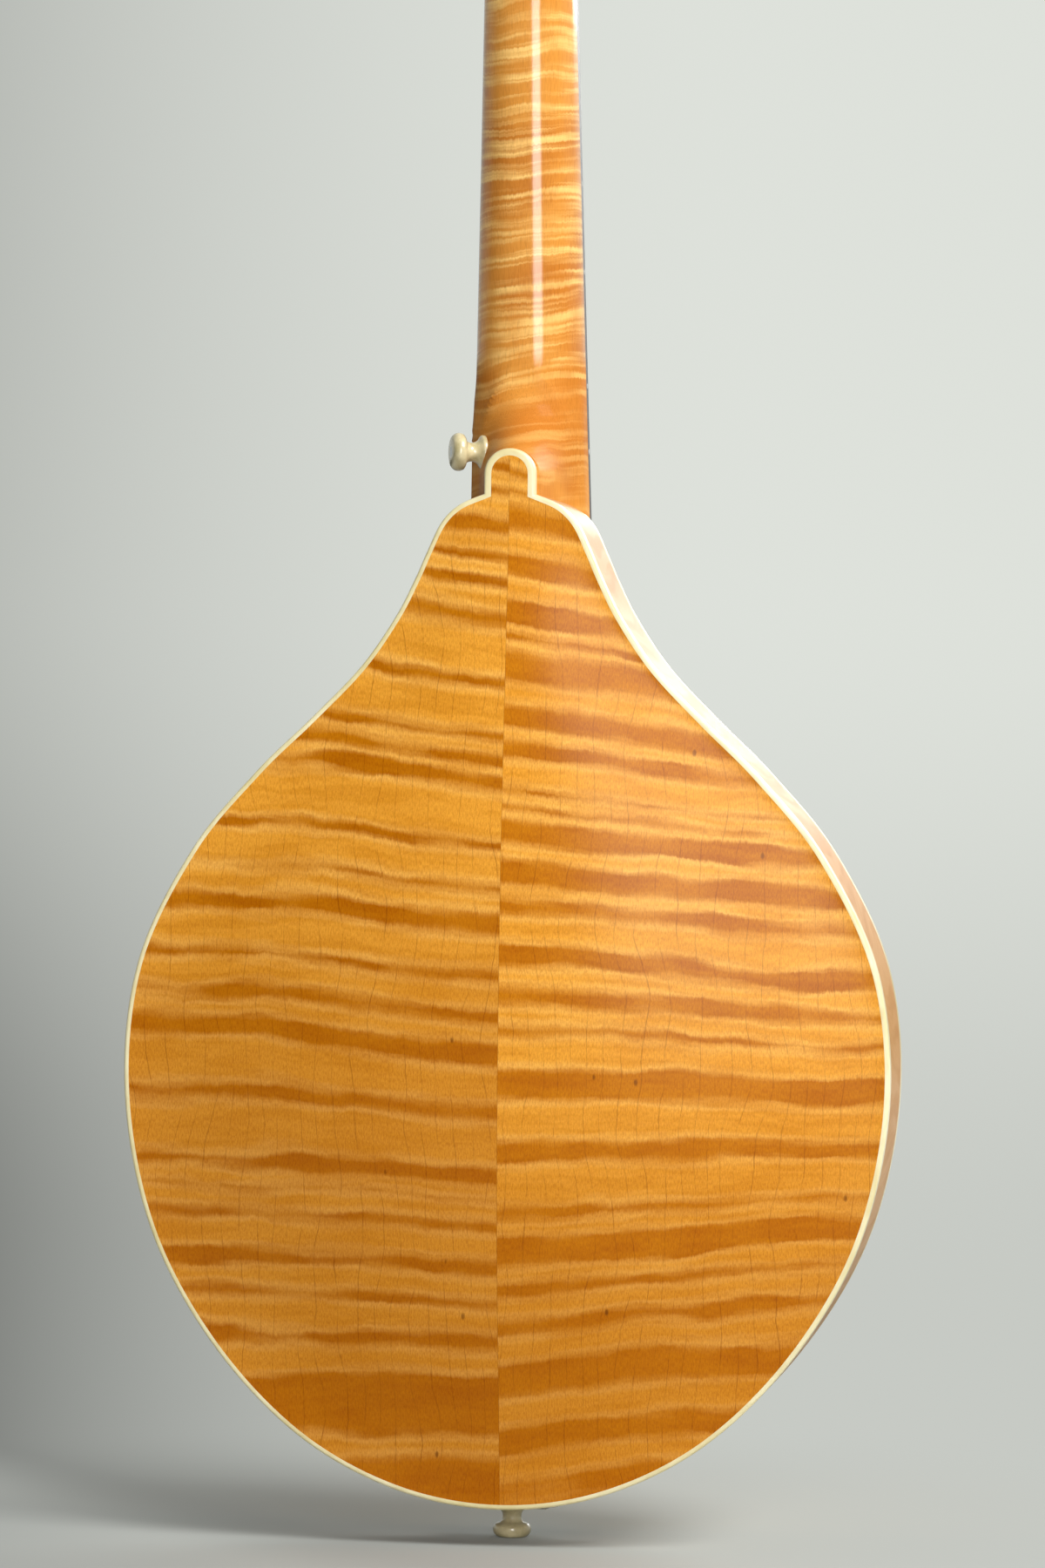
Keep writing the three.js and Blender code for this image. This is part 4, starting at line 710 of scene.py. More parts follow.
# The top
# Two halves of spruce, carved like the back, with an oval soundhole under the strings and rings of black and
# white strips let in round it.

hole_centre, hole_width, hole_height = 236, 58, 41
lining_thickness, rosette_away = 1.6, 7


def ringed(finish, x, height):
    """Lays the rosette's black and white rings on a finish, by the distance from their middle line."""
    long, short = hole_width / 2 + rosette_away, hole_height / 2 + rosette_away
    a, b = x / long, (height - hole_centre) / short
    slope_a, slope_b = a / long, b / short
    slope = (slope_a * slope_a + slope_b * slope_b).root()
    away = ((a * a + b * b - 1) / (slope * 2)).size()
    white, dark = (236, 226, 196), (30, 24, 20)
    for radius, tone in ((2.4, dark), (2.0, white), (1.5, dark), (1.1, white), (0.35, dark)):
        finish.tint(finish.rise(away, radius + 0.04, radius - 0.04), tone)


def spruce():
    finish = Finish("aged_spruce", "spruce", Roughness=0.4, Coat_Weight=1.0, Coat_Roughness=0.07)
    x, z = finish.x, finish.z - tail
    wide = finish.noise(x / 40, 0, z / 400, detail=1) * 14
    near = finish.noise(x / 4, 3, z / 300, detail=1) * 1.6
    line = ((x + wide + near) / 1.35).part()
    strength = finish.noise(x / 7, 5, z / 200)
    late = finish.rise(line, 0.5, 0.95) * finish.rise(line, 1.0, 0.96)
    late = late * finish.rise(strength, 0.3, 0.7, 0.25, 1)
    finish.colour = (232, 182, 106)
    finish.tint(late, (208, 146, 70))
    finish.stain(finish.noise(x / 0.3, 0, z / 6, detail=3, roughness=0.6), 0.3, 0.75, 0.2, (190, 130, 60))
    ringed(finish, x, z)
    return finish


def cut_out(data, cutter):
    """A mesh with another one cut out of it."""
    held, knife = linked(data.name, data), linked(cutter.name, cutter)
    modifier = held.modifiers.new("cut", "BOOLEAN")
    modifier.operation, modifier.solver, modifier.object = "DIFFERENCE", "EXACT", knife
    cut = bpy.data.meshes.new_from_object(held.evaluated_get(bpy.context.evaluated_depsgraph_get()))
    for thing in (held, knife):
        bpy.data.objects.remove(thing)
    return cut


def around(count, start=0.0):
    """The angles of evenly spaced places round a circle."""
    return [2 * math.pi * (k + start) / count for k in range(count)]


def oval(away, start=0.0):
    """Places round the soundhole, across and up from the tail, so far out from its edge."""
    half_width, half_height = hole_width / 2 + away, hole_height / 2 + away
    return [(half_width * math.cos(a), hole_centre + half_height * math.sin(a)) for a in around(96, start)]


top_edge = inset(top_half, binding_width)
hole_rim = oval(lining_thickness - 0.05, 0.5)
knife = [capped([[(x, y, tail + up) for x, up in hole_rim] for y in (rim_front - 30, rim_front + 10)])]
joined = bmesh.new()
for side in (1, -1):
    half_top = shaped("top_half", [carved(top_edge, top_thickness, -1, rim_front, side)])
    joined.from_mesh(cut_out(half_top, shaped("soundhole_knife", knife)))
top_data = bpy.data.meshes.new("top_wood")
joined.to_mesh(top_data)
joined.free()
dressed("top_wood", top_data, spruce(), ["top_plate_treble", "top_plate_bass"])
piece("binding_of_top", [binding(top_half, rim_front, -1)], cream, ["top_binding"])

# The soundhole's lining
# A strip of the same cream plastic bent round inside the oval soundhole, level with the top's face.

lining_section = [(lining_thickness, 4.4), (lining_thickness, 0.1), (1.45, -0.05), (0.35, -0.05)]
lining_section += [(0, 0.3), (0, 4.4)]
lining_rings = []
for away, deep in lining_section:
    lining_rings.append([(x, top_height(x, up) + deep, tail + up) for x, up in oval(away)])
piece("soundhole_lining", [grid(list(zip(*lining_rings)), True, True)], cream, ["soundhole_binding"])

# The fingerboard
# Ebony, flat, glued to the neck's face and to the tongue over the top. Pearl dots are let into its face and
# its edge.

ebony = Finish("oiled_ebony", "ebony", Roughness=0.42)
ebony.mottle((0.5, 0.5, 14), 0.45, 0.8, (26, 21, 19), (58, 44, 36), detail=4, roughness=0.6)
fret_count = 20


def fret_place(n):
    return scale_length * (1 - 2 ** (-n / 12))


board_end = fret_place(fret_count) + 4.5
board_rows = []
for distance in [board_end * k / 20 for k in range(21)]:
    half = board_half(distance)
    section = [(-half, 5), (-half, 0.5), (-half + 0.5, 0), (half - 0.5, 0), (half, 0.5), (half, 5)]
    board_rows.append([lean @ Vector((x, y, -distance)) for x, y in section])
piece("board", [capped(board_rows)], ebony, ["fingerboard"])


def turned(profile, sides, turn, hollow=False):
    """A body turned about its own Z axis. Each step of its profile is a radius and a height."""
    ring = [(math.cos(a), math.sin(a)) for a in around(sides)]
    rings = [[turn @ Vector((r * x, r * y, z)) for x, y in ring] for r, z in profile]
    return grid(rings, True, True) if hollow else capped(rings)


def facing_front(x, y, z):
    """A place in a frame whose Z axis points out of the instrument's front."""
    return Matrix.Translation((x, y, z)) @ Matrix.Rotation(math.pi / 2, 4, "X")


pearl = Finish("pearl", "ivoroid", Roughness=0.25, Coat_Weight=1.0, Coat_Roughness=0.05)
pearl.mottle((1.4, 1.4, 2.1), 0.35, 0.65, (206, 214, 204), (246, 240, 232))
dots = []
for n, across in ((5, 0), (7, 0), (10, 0), (12, -5.5), (12, 5.5), (15, 0)):
    middle = (fret_place(n) + fret_place(n - 1)) / 2
    face_dot = [(0, -0.4), (2.2, -0.4), (2.2, 0.02), (2.1, 0.05), (0, 0.05)]
    dots.append(turned(face_dot, 32, lean @ facing_front(across, 0, -middle)))
for n in (5, 7, 10, 12):
    middle = (fret_place(n) + fret_place(n - 1)) / 2
    aim = Matrix.Translation((-board_half(middle), 2.6, -middle)) @ Matrix.Rotation(-math.pi / 2, 4, "Y")
    dots.append(turned([(0, -0.4), (0.9, -0.4), (0.9, 0.03), (0, 0.04)], 20, lean @ aim))
piece("position_dots", dots, pearl)

# The frets
# Twenty nickel wires with a round crown, pressed into slots sawn across the board, their ends filed flush.

nickel = Finish("nickel_plate", "nickel", Metallic=1.0)
haze = nickel.mottle((5, 5, 5), 0.35, 0.7, (208, 205, 198), (198, 193, 183), detail=4, roughness=0.65)
rub = nickel.noise(nickel.x / 0.5, nickel.y / 3, nickel.z / 3)
nickel.feed(Roughness=nickel.rise(haze, 0.3, 0.75, 0.2, 0.29), Normal=nickel.bump(rub, 0.01))


class Pattern(Nodes):
    """A tree of geometry nodes that sets out copies of a shape, in millimetres, and gives one plain mesh."""

    def __init__(self, name, **sizes):
        super().__init__(bpy.data.node_groups.new(name, "GeometryNodeTree"))
        self.name, self.sizes, self.keys = name, sizes, {}
        face = self.tree.interface
        face.new_socket("Geometry", in_out="OUTPUT", socket_type="NodeSocketGeometry")
        for key, value in sizes.items():
            kind = "NodeSocketInt" if isinstance(value, int) else "NodeSocketFloat"
            self.keys[key] = face.new_socket(key, in_out="INPUT", socket_type=kind).identifier
        given = self.tree.nodes.new("NodeGroupInput").outputs
        self.given = {key: Number(self, given[key]) for key in sizes}

    def shape(self, kind, **inputs):
        """What a geometry node gives first."""
        inputs = {key.replace("_", " "): value for key, value in inputs.items()}
        return self.node("GeometryNode" + kind, {}, inputs).outputs[0]

    def join(self, kind, *inputs, **settings):
        """What a geometry node gives for several meshes, each with the name or number of its socket."""
        made = self.node("GeometryNode" + kind, settings)
        for mesh, key in inputs:
            self.tree.links.new(mesh, made.inputs[key])
        return made.outputs[0]

    def line(self, count):
        """Points that all lie at the origin, to be set out by their index, and that index."""
        return self.shape("MeshLine", Count=count, Offset=(0, 0, 0)), self.number("GeometryNodeInputIndex")

    def placed(self, points, where):
        return self.shape("SetPosition", Geometry=points, Position=where)

    def copies(self, points, shape, turn=(0, 0, 0), scale=(1, 1, 1)):
        return self.shape("InstanceOnPoints", Points=points, Instance=shape, Rotation=turn, Scale=scale)

    def mesh(self, geometry, finish, turn=Matrix()):
        real = self.shape("RealizeInstances", Geometry=geometry)
        made = self.shape("SetMaterial", Geometry=real, Material=finish.material)
        self.node("NodeGroupOutput", {}, {0: made})
        holder = linked(self.name, bpy.data.meshes.new(self.name))
        modifier = holder.modifiers.new(self.name, "NODES")
        modifier.node_group = self.tree
        for key, value in self.sizes.items():
            modifier[self.keys[key]] = value
        seen = holder.evaluated_get(bpy.context.evaluated_depsgraph_get())
        data = bpy.data.meshes.new_from_object(seen)
        bpy.data.objects.remove(holder)
        data.transform(Matrix.Scale(mm, 4) @ turn)
        return data


wires = Pattern("fret_wires", Scale=float(scale_length), Count=fret_count, Nut_half=float(nut_half),
                Spread=board_spread / joint, Crown=1.0)
given = wires.given
points, index = wires.line(given["Count"])
power = wires.number("ShaderNodeMath", {"operation": "POWER"}, [2.0, (index + 1) * (-1 / 12)])
distance = given["Scale"] * (1 - power)
half = given["Nut_half"] + distance * given["Spread"] - 0.3
bar = wires.shape("MeshCylinder", Vertices=24, Radius=given["Crown"], Depth=2.0)
set_out = wires.placed(points, wires.vector(z=distance * -1))
rows = wires.copies(set_out, bar, (0, math.pi / 2, 0), wires.vector(1.0, 1.0, half))
dressed("frets", wires.mesh(rows, nickel, lean), nickel)

# The nut
# A strip of bone across the end of the fingerboard, rounded on top and slotted for the eight strings.

bone = Finish("polished_bone", "bone", Roughness=0.35, Coat_Weight=0.6, Coat_Roughness=0.15)
bone.mottle((0.4, 3, 3), 0.35, 0.7, (238, 230, 208), (222, 208, 176), detail=3)
nut_section = [(0.1, 5), (0.1, -1.1), (0.5, -1.6), (2.4, -1.5), (4.2, -0.9), (4.9, 0.2), (4.9, 5)]
nut_rows = [
    [lean @ Vector((x, y if y == 5 else y + dip, z)) for z, y in nut_section]
    for x, dip in [(-15, 0.5), (-14.6, 0.05), (-14.2, 0), (14.2, 0), (14.6, 0.05), (15, 0.5)]
]
piece("nut_strip", [capped(nut_rows)], bone, ["nut"])

# The headplate
# A black veneer on the peghead's face, lacquered and left bare, and a bell-shaped cover over the truss rod's
# nut.

black = Finish("black_lacquer", "ebony", Roughness=0.3, Coat_Weight=1.0, Coat_Roughness=0.05)
black.mottle((3, 3, 30), 0.35, 0.8, (17, 15, 15), (34, 28, 25), detail=4)


def pressed(half, section, turn):
    """A plate through an outline. Each step of its section is how far in and how far back it is."""
    return slab([inset(half, away) for away, _ in section], [y for _, y in section], turn)


veneer = pressed(peghead_full, ((0, 2), (0, 0.35), (0.1, 0.1), (0.35, 0)), peghead_frame)
piece("head_veneer", [veneer], black, ["headplate"])
bell = catmull([(10, 0.3), (10, 8.1), (6.8, 16.7), (2.8, 22.1), (0, 27)], 6)
cover = pressed([Vector((0, 0.3))] + bell, ((0, -0.1), (0, -1), (0.15, -1.3), (0.5, -1.5)), peghead_frame)
piece("bell_cover", [cover], black, ["truss_rod_cover"])

# The strap pins
# Two pins turned from a cream, ivory-coloured rod, with a taper driven into the wood: one in the heel's
# treble side, one in the tail. A disc of dark shell is let into the end of each.

pin_slot = "ivory_coloured_pin"
ivory = Finish("turned_ivory_colour", pin_slot, Roughness=0.32, Coat_Weight=0.8, Coat_Roughness=0.1)
ivory.mottle((4, 4, 4), 0.35, 0.75, (226, 212, 168), (192, 178, 130), detail=4, roughness=0.6)
shell = Finish("dark_shell", pin_slot, Roughness=0.2, Coat_Weight=1.0, Coat_Roughness=0.05)
shell.mottle((1.2, 1.2, 1.2), 0.35, 0.65, (38, 50, 52), (96, 112, 96), detail=3)
pin_length = 11.38
pin_profile = [
    (5.4, -0.3), (5.7, 0), (5.7, 0.9), (5.3, 1.35), (4.1, 2.2), (3.4, 3.2), (3.15, 4.4), (3.3, 5.4),
    (3.9, 6.3), (5.2, 6.75), (6.05, 7.4), (6.4, 8.5), (6.3, 9.6), (5.8, 10.5), (5.1, 11.1), (4.2, pin_length),
]
smooth_pin = [(0, -0.3), *catmull(pin_profile, 3), (0, pin_length)]
shell_profile = [(0, 10.9), (1.9, 10.9), (1.9, pin_length + 0.005), (0, pin_length + 0.01)]
heel_pin_place, heel_pin_way = (13.2, 11, -171.36), Vector((0.93358, 0.358368, 0))
tail_pin_place, tail_pin_way = (0, 11.99, -524.36), Matrix.Rotation(math.pi, 4, "X")
heel_pin = Matrix.Translation(heel_pin_place) @ heel_pin_way.to_track_quat("Z", "Y").to_matrix().to_4x4()
for name, turn in (("heel", heel_pin), ("tail", Matrix.Translation(tail_pin_place) @ tail_pin_way)):
    piece(f"strap_pin_of_{name}", [turned(smooth_pin, 48, turn)], ivory, [f"{name}_strap_pin"])
    piece(f"shell_disc_of_{name}", [turned(shell_profile, 32, turn)], shell)

# The tuners
# Two rows of four. Each row is a nickel plate on the peghead's back with bent-up lugs, which carry brass
# worms on steel shafts with cream pearloid buttons. Each worm turns a brass gear on the back end of its
# string post.

brass = Finish("worn_brass", "brass", Metallic=1.0)
dull = brass.mottle((3, 3, 3), 0.3, 0.7, (216, 178, 96), (168, 128, 62), detail=4, roughness=0.65)
brass.feed(Roughness=brass.rise(dull, 0.3, 0.75, 0.22, 0.42))
pearloid = Finish("pearloid", "ivoroid", Roughness=0.25, Coat_Weight=1.0, Coat_Roughness=0.06)
pearloid.mottle((1.6, 1.6, 1.6), 0.4, 0.6, (232, 224, 198), (250, 246, 232), detail=1)
row_across = 18
tuner_heights = [34 + 23.5 * k for k in range(4)]
tuner_places = [(side * row_across, height) for side in (-1, 1) for height in tuner_heights]
plate_front, plate_back = 15.2, 16.4
gear_front, gear_thick, gear_teeth, worm_rise = 17.3, 3, 14, 6.55
worm_depth = gear_front + gear_thick / 2
rows_middle = (tuner_heights[0] + tuner_heights[-1]) / 2 + worm_rise / 2
row_half = 52
lug_half, lug_radius, lug_thickness, shaft_back = 5.5, 2.8, 1.4, 18.8


def rounded(half_x, low, high, corner, turns=5):
    """The treble half of an upright rectangle with round corners."""
    points = [Vector((0, low))]
    for z, start in ((low + corner, -math.pi / 2), (high - corner, 0)):
        for angle in quarter_turns(turns):
            across, up = corner * math.cos(start + angle), corner * math.sin(start + angle)
            points.append(Vector((half_x - corner + across, z + up)))
    return points + [Vector((0, high))]


def screws(name, places, lift, radius, turn, finish=nickel):
    """Slotted screw heads on a face that looks along -Y, set out from a list of places across and up."""
    tree = Pattern(name, Radius=float(radius), Crown=radius * 0.45)
    wide, tall = tree.given["Radius"], tree.given["Crown"]
    heads = bpy.data.meshes.new(name + "_places")
    heads.from_pydata([(x, lift, z) for x, z in places], [], [])
    marks = linked(name + "_places", heads)
    given = tree.node("GeometryNodeObjectInfo", {}, {"Object": marks}).outputs["Geometry"]
    ball = tree.shape("MeshUVSphere", Segments=24, Rings=12, Radius=1.0)
    dome = tree.shape("Transform", Geometry=ball, Scale=tree.vector(wide, tall, wide))
    block = tree.shape("MeshCube", Size=tree.vector(wide * 2.4, tall * 0.8, wide * 0.26))
    raised = tree.shape("Transform", Geometry=block, Translation=tree.vector(y=tall * -1))
    both = (dome, "Mesh 1"), (raised, "Mesh 2")
    head = tree.join("MeshBoolean", *both, operation="DIFFERENCE", solver="EXACT")
    turns = tree.node("FunctionNodeRandomValue", {"data_type": "FLOAT"}, {"Max": 3.0, "Seed": 7})
    spin = tree.vector(y=Number(tree, turns.outputs[1]))
    made = tree.mesh(tree.copies(tree.shape("MeshToPoints", Mesh=given), head, spin), finish, turn)
    bpy.data.objects.remove(marks)
    return dressed(name, made, finish)


half_turn = [math.pi * k / 12 for k in range(13)]
lug = [(shaft_back + lug_radius * math.sin(a), -lug_radius * math.cos(a)) for a in half_turn]
lug += [(plate_back - 0.6, lug_radius), (plate_back - 0.6, -lug_radius)]
for hand, side in (("bass", -1), ("treble", 1)):
    middle = peghead_frame @ Matrix.Translation((side * row_across, 0, 0))
    edge = rounded(7, rows_middle - row_half, rows_middle + row_half, 2)
    shells = [pressed(edge, ((0, plate_front), (0, plate_back - 0.2), (0.2, plate_back)), middle)]
    for up in [height + worm_rise for height in tuner_heights]:
        for end in (-lug_half, lug_half):
            sides = (end - lug_thickness / 2, end + lug_thickness / 2)
            shells.append(capped([[middle @ Vector((x, y, up + z)) for y, z in lug] for x in sides]))
    piece(f"machine_plate_{hand}", shells, nickel, [f"tuner_plate_{hand}"])
steps = (-48.5, -24.6, -1.1, 22.4, 48.5)
places = [(-side * row_across, rows_middle + step) for side in (-1, 1) for step in steps]
screws("plate_screws", places, -plate_back, 1.9, peghead_frame @ Matrix.Rotation(math.pi, 4, "Z"))
screws("cover_screws", [(0, 3.2), (0, 22.4)], -1.5, 1.3, peghead_frame)
bush = [(3.2, -1.2), (4.6, -1.2), (4.6, 0.35), (4.3, 0.7), (3.5, 0.8), (3.2, 0.6)]
holes = [peghead_frame @ facing_front(x, 0, height) for x, height in tuner_places]
piece("post_bushes", [turned(bush, 40, hole, hollow=True) for hole in holes], nickel)


def gear(turn):
    """A wheel with a gap between two of its fourteen teeth facing +Z, where its worm runs."""
    flank = [(3.95, -0.48), (4.5, -0.36), (5.0, -0.25), (5.1, -0.15)]
    flank += [(radius, -reach) for radius, reach in reversed(flank)]
    rim = [(radius, middle + reach / radius) for middle in around(gear_teeth, 0.5) for radius, reach in flank]
    rings = []
    for shrink, step in ((0.97, 0), (1, 0.2), (1, gear_thick - 0.2), (0.97, gear_thick)):
        points = [(r * shrink * math.sin(a), gear_front + step, r * shrink * math.cos(a)) for r, a in rim]
        rings.append([turn @ Vector(p) for p in points])
    return capped(rings)


def worm(turn):
    """A right-handed thread about the X axis, two turns long, whose middle faces the gear's gap."""
    pitch = 2 * math.pi * 4.6 / gear_teeth
    section = [(0.9, -0.525), (1.25, -0.525), (2.3, -0.24), (2.4, -0.16)]
    section += [(radius, -along) for radius, along in reversed(section)]
    rings = []
    for share in [k / 24 for k in range(-24, 25)]:
        cosine, sine = math.cos(2 * math.pi * share), math.sin(2 * math.pi * share)
        rings.append([turn @ Vector((share * pitch + a, r * sine, -r * cosine)) for r, a in section])
    return capped(rings)


button_shares = [(0.3, 0), (0.32, 0.05), (0.4, 0.16), (0.85, 0.3), (1, 0.58), (0.82, 0.86), (0.4, 1)]
knob_radius, knob_length, shaft_length = 8, 15, 15
button_curve = [(p.x * knob_radius, p.y * knob_length) for p in catmull(button_shares, 5)]
button_curve = [(r, clamp(z, 0, knob_length)) for r, z in [(0, 0)] + button_curve + [(0, knob_length)]]
post_profile = [
    (0, -12), (2.3, -12), (2.7, -11.8), (3, -11.3), (3, -8.2), (2.75, -7.6), (2.7, -6.4), (3, -5.6),
    (3, gear_front + 1), (0, gear_front + 1),
]
for number, (x, height) in enumerate(tuner_places, 1):
    post, knob = f"tuner_post_{number}", f"tuner_knob_{number}"
    upright = peghead_frame @ Matrix.Translation((x, 0, height))
    back = upright @ Matrix.Rotation(-math.pi / 2, 4, "X")
    piece(f"post_{number}", [turned(post_profile, 40, back)], nickel, body=post)
    piece(f"gear_{number}", [gear(upright)], brass, [post], post)
    screw = turned([(0, 20), (2.2, 20), (2.2, 21), (1.9, 21.3), (0, 21.4)], 32, back)
    piece(f"gear_screw_{number}", [screw], nickel, body=post, sharp=28)
    axle = peghead_frame @ Matrix.Translation((x, worm_depth, height + worm_rise))
    outward = axle @ Matrix.Rotation(math.copysign(math.pi / 2, x), 4, "Y")
    shaft = turned([(0, -6.9), (1.1, -6.9), (1.25, -6.7), (1.25, 16), (0, 16)], 24, outward)
    collar = turned([(0, 12.4), (1.9, 12.4), (2.1, 12.7), (2.1, 14.6), (1.9, 15), (0, 15)], 24, outward)
    piece(f"worm_{number}", [worm(axle), shaft, collar], brass, body=knob, sharp=40)
    flat = outward @ Matrix.Translation((0, 0, shaft_length)) @ Matrix.Scale(0.45, 4, (0, 1, 0))
    piece(f"button_{number}", [turned(button_curve, 48, flat)], pearloid, [knob], knob, sharp=50)

# The bridge
# An ebony foot fitted to the top, two threaded brass posts with knurled wheels, and the ebony saddle that
# they lift. The strings hold it down, and nothing else does.

string_radii = [0.5, 0.5, 0.33, 0.33, 0.19, 0.19, 0.14, 0.14]
saddle_distance = 354
post_across = 24
base_height, wheel_thickness, wheel_radius = 5.6, 2.4, 5.85
threads, pitch = 11, 0.8


def string_lift(distance):
    return 1.3 + 1.4 * distance / fret_place(12)


def across(i, course, pair):
    return (i // 2 - 1.5) * course + (pair if i % 2 else -pair) / 2


saddle_point = lean @ Vector((0, -string_lift(saddle_distance), -saddle_distance))
saddle_line, saddle_top = saddle_point.z, saddle_point.y + 0.3
base_crest = top_height(0, saddle_line - tail) - 0.3 - base_height
wheel_front = base_crest - 1 - 0.5 - wheel_thickness
saddle_foot = wheel_front - 0.1


def mirrored(x, section):
    """A section of the bridge at a place across, from its upper half."""
    return [(x, y, saddle_line + z) for y, z in section + [(y, -z) for y, z in reversed(section)]]


foot_rows = []
for share in [k / 28 - 1 for k in range(57)]:
    x = share * 56
    under = top_height(x, saddle_line - tail) - 0.05
    tip = math.sqrt(clamp((1 - abs(share)) / 0.03))
    rise = smooth((1 - abs(share)) / 0.45)
    front = under - 2.6 * (0.4 + 0.6 * tip) + (base_crest - under + 2.6) * rise
    half = 5 * (0.75 + 0.25 * tip)
    section = [(under, half), (front + (under - front) * 0.3, half * 0.97), (front + 0.7, half * 0.9)]
    foot_rows.append(mirrored(x, section + [(front + 0.2, half * 0.82), (front, half * 0.7)]))
piece("bridge_foot", [capped(foot_rows)], ebony, ["bridge_base"])

thread = [(0, 0)]
for k in range(threads):
    thread += [(1.62, pitch * (k + 0.25)), (1.9, pitch * (k + 0.75))]
bore_end = pitch * threads + 1.4
saddle_bores = []
for hand, side in (("bass", -1), ("treble", 1)):
    place = facing_front(side * post_across, base_crest + 0.8, saddle_line)
    rod = turned(thread + [(0, pitch * (threads + 0.25))], 28, place)
    piece(f"threaded_post_{hand}", [rod], brass, [f"bridge_post_{hand}"])
    saddle_bores.append(turned([(0, 4.2), (2.1, 4.2), (2.1, bore_end), (0, bore_end)], 28, place))
    knurl = Pattern(f"knurled_wheel_{hand}", Count=52, Radius=wheel_radius, Thickness=wheel_thickness)
    count, radius, thick = (knurl.given[key] for key in ("Count", "Radius", "Thickness"))
    points, index = knurl.line(count)
    angle = index * (2 * math.pi) / count
    cosine, sine = angle.math("COSINE", angle), angle.math("SINE", angle)
    rim = knurl.placed(points, knurl.vector(cosine * radius, 0.0, sine * radius))
    ridge = knurl.shape("MeshCylinder", Vertices=8, Radius=0.33, Depth=thick * 0.9)
    disc = knurl.shape("MeshCylinder", Vertices=52, Radius=radius, Depth=thick)
    ridges = knurl.copies(rim, ridge, (math.pi / 2, 0, 0))
    laid = knurl.shape("Transform", Geometry=disc, Rotation=(math.pi / 2, 0, 0))
    both = knurl.join("JoinGeometry", (ridges, 0), (laid, 0))
    middle = Matrix.Translation((side * post_across, wheel_front + wheel_thickness / 2, saddle_line))
    wheel = knurl.mesh(both, brass, middle)
    dressed(f"knurled_wheel_{hand}", wheel, brass, [f"thumbwheel_{hand}"], f"thumbwheel_{hand}")

saddle_rows = []
for share in [k / 20 - 1 for k in range(41)]:
    fall = math.sqrt(clamp((1 - abs(share)) / 0.1))
    rise = (saddle_top - saddle_foot) * (0.62 + 0.38 * fall)
    top = saddle_foot + rise
    section = [(saddle_foot, 2.7), (saddle_foot - 0.4, 3), (saddle_foot + rise * 0.5, 3)]
    section += [(saddle_foot + rise * 0.75, 2.3), (top + 0.35, 1.35), (top, 0.9)]
    saddle_rows.append(mirrored(share * 35, section))
bored = cut_out(shaped("saddle_strip", [capped(saddle_rows)]), shaped("post_bores", saddle_bores))
dressed("saddle_strip", bored, ebony, ["bridge_saddle"], "bridge_saddle")

# The tailpiece
# Nickel-plated sheet, bent over the tail's edge and screwed to the tail block, with a row of hooks for the
# strings' loops. A pressed cover slides over the hooks.

plate_run, plate_rise = 69, 8.8
sheet_half, sheet_thickness = 17, 1.2
hook_height, hook_pitch = 26, 4.3
bend_y, bend_z = rim_front - 5, tail + 9
plate_turn = Matrix.Rotation(math.atan2(plate_rise, plate_run), 4, "X")
plate_frame = Matrix.Translation((0, bend_y, bend_z)) @ plate_turn
plate_length = math.hypot(plate_run, plate_rise)
sheet_path = [(rim_front + 26, tail - 0.7), (rim_front - 0.4, tail - 0.7), (rim_front - 2.2, tail + 0.3)]
sheet_path.append((bend_y + 1.2, tail + 7.2))
sheet_path += [(plate_frame @ Vector((0, 0.6, s))).yz for s in (2, plate_length / 2, plate_length)]
sheet_line = catmull(sheet_path, 8)
sheet_rows = []
for k, p in enumerate(sheet_line):
    way = (sheet_line[min(k + 1, len(sheet_line) - 1)] - sheet_line[max(k - 1, 0)]).normalized()
    normal = Vector((way.y, -way.x)) * (sheet_thickness / 2)
    narrow = sheet_half if 0 < k < len(sheet_line) - 1 else sheet_half - 1.5
    corners = ((-1, p + normal), (1, p + normal), (1, p - normal), (-1, p - normal))
    sheet_rows.append([(side * narrow, q.x, q.y) for side, q in corners])
piece("tail_sheet", [capped(sheet_rows)], nickel, ["tailpiece_base"])

hooks = Pattern("string_hooks", Count=8, Pitch=hook_pitch, Width=1.8, Height=4.0)
count, spacing, wide, tall = (hooks.given[key] for key in ("Count", "Pitch", "Width", "Height"))
points, index = hooks.line(count)
step = (index - (count - 1) / 2) * spacing
set_out = hooks.placed(points, hooks.vector(step, tall * -0.5 + 0.3, float(hook_height)))
box = hooks.vector(wide, tall + 0.6, 1.4)
tab = hooks.shape("MeshCube", Size=box, Vertices_X=3, Vertices_Y=5, Vertices_Z=3)
dressed("string_hooks", hooks.mesh(hooks.copies(set_out, tab), nickel, plate_frame), nickel)

cover_width, cover_top, skirt = 18.3, 8, 2


def cover_side(shrink, s):
    """The cover's section over the top from its treble skirt to the bass one, moved in, at one height."""
    half, top, corner = cover_width - shrink, -(cover_top - shrink), 3.4 - shrink / 2
    points = [(half, skirt), (half, top + corner)]
    for angle in quarter_turns(6)[1:]:
        points.append((half - corner * (1 - math.cos(angle)), top + corner * (1 - math.sin(angle))))
    return [Vector((x, y, s)) for x, y in points + [(-x, y) for x, y in reversed(points)]]


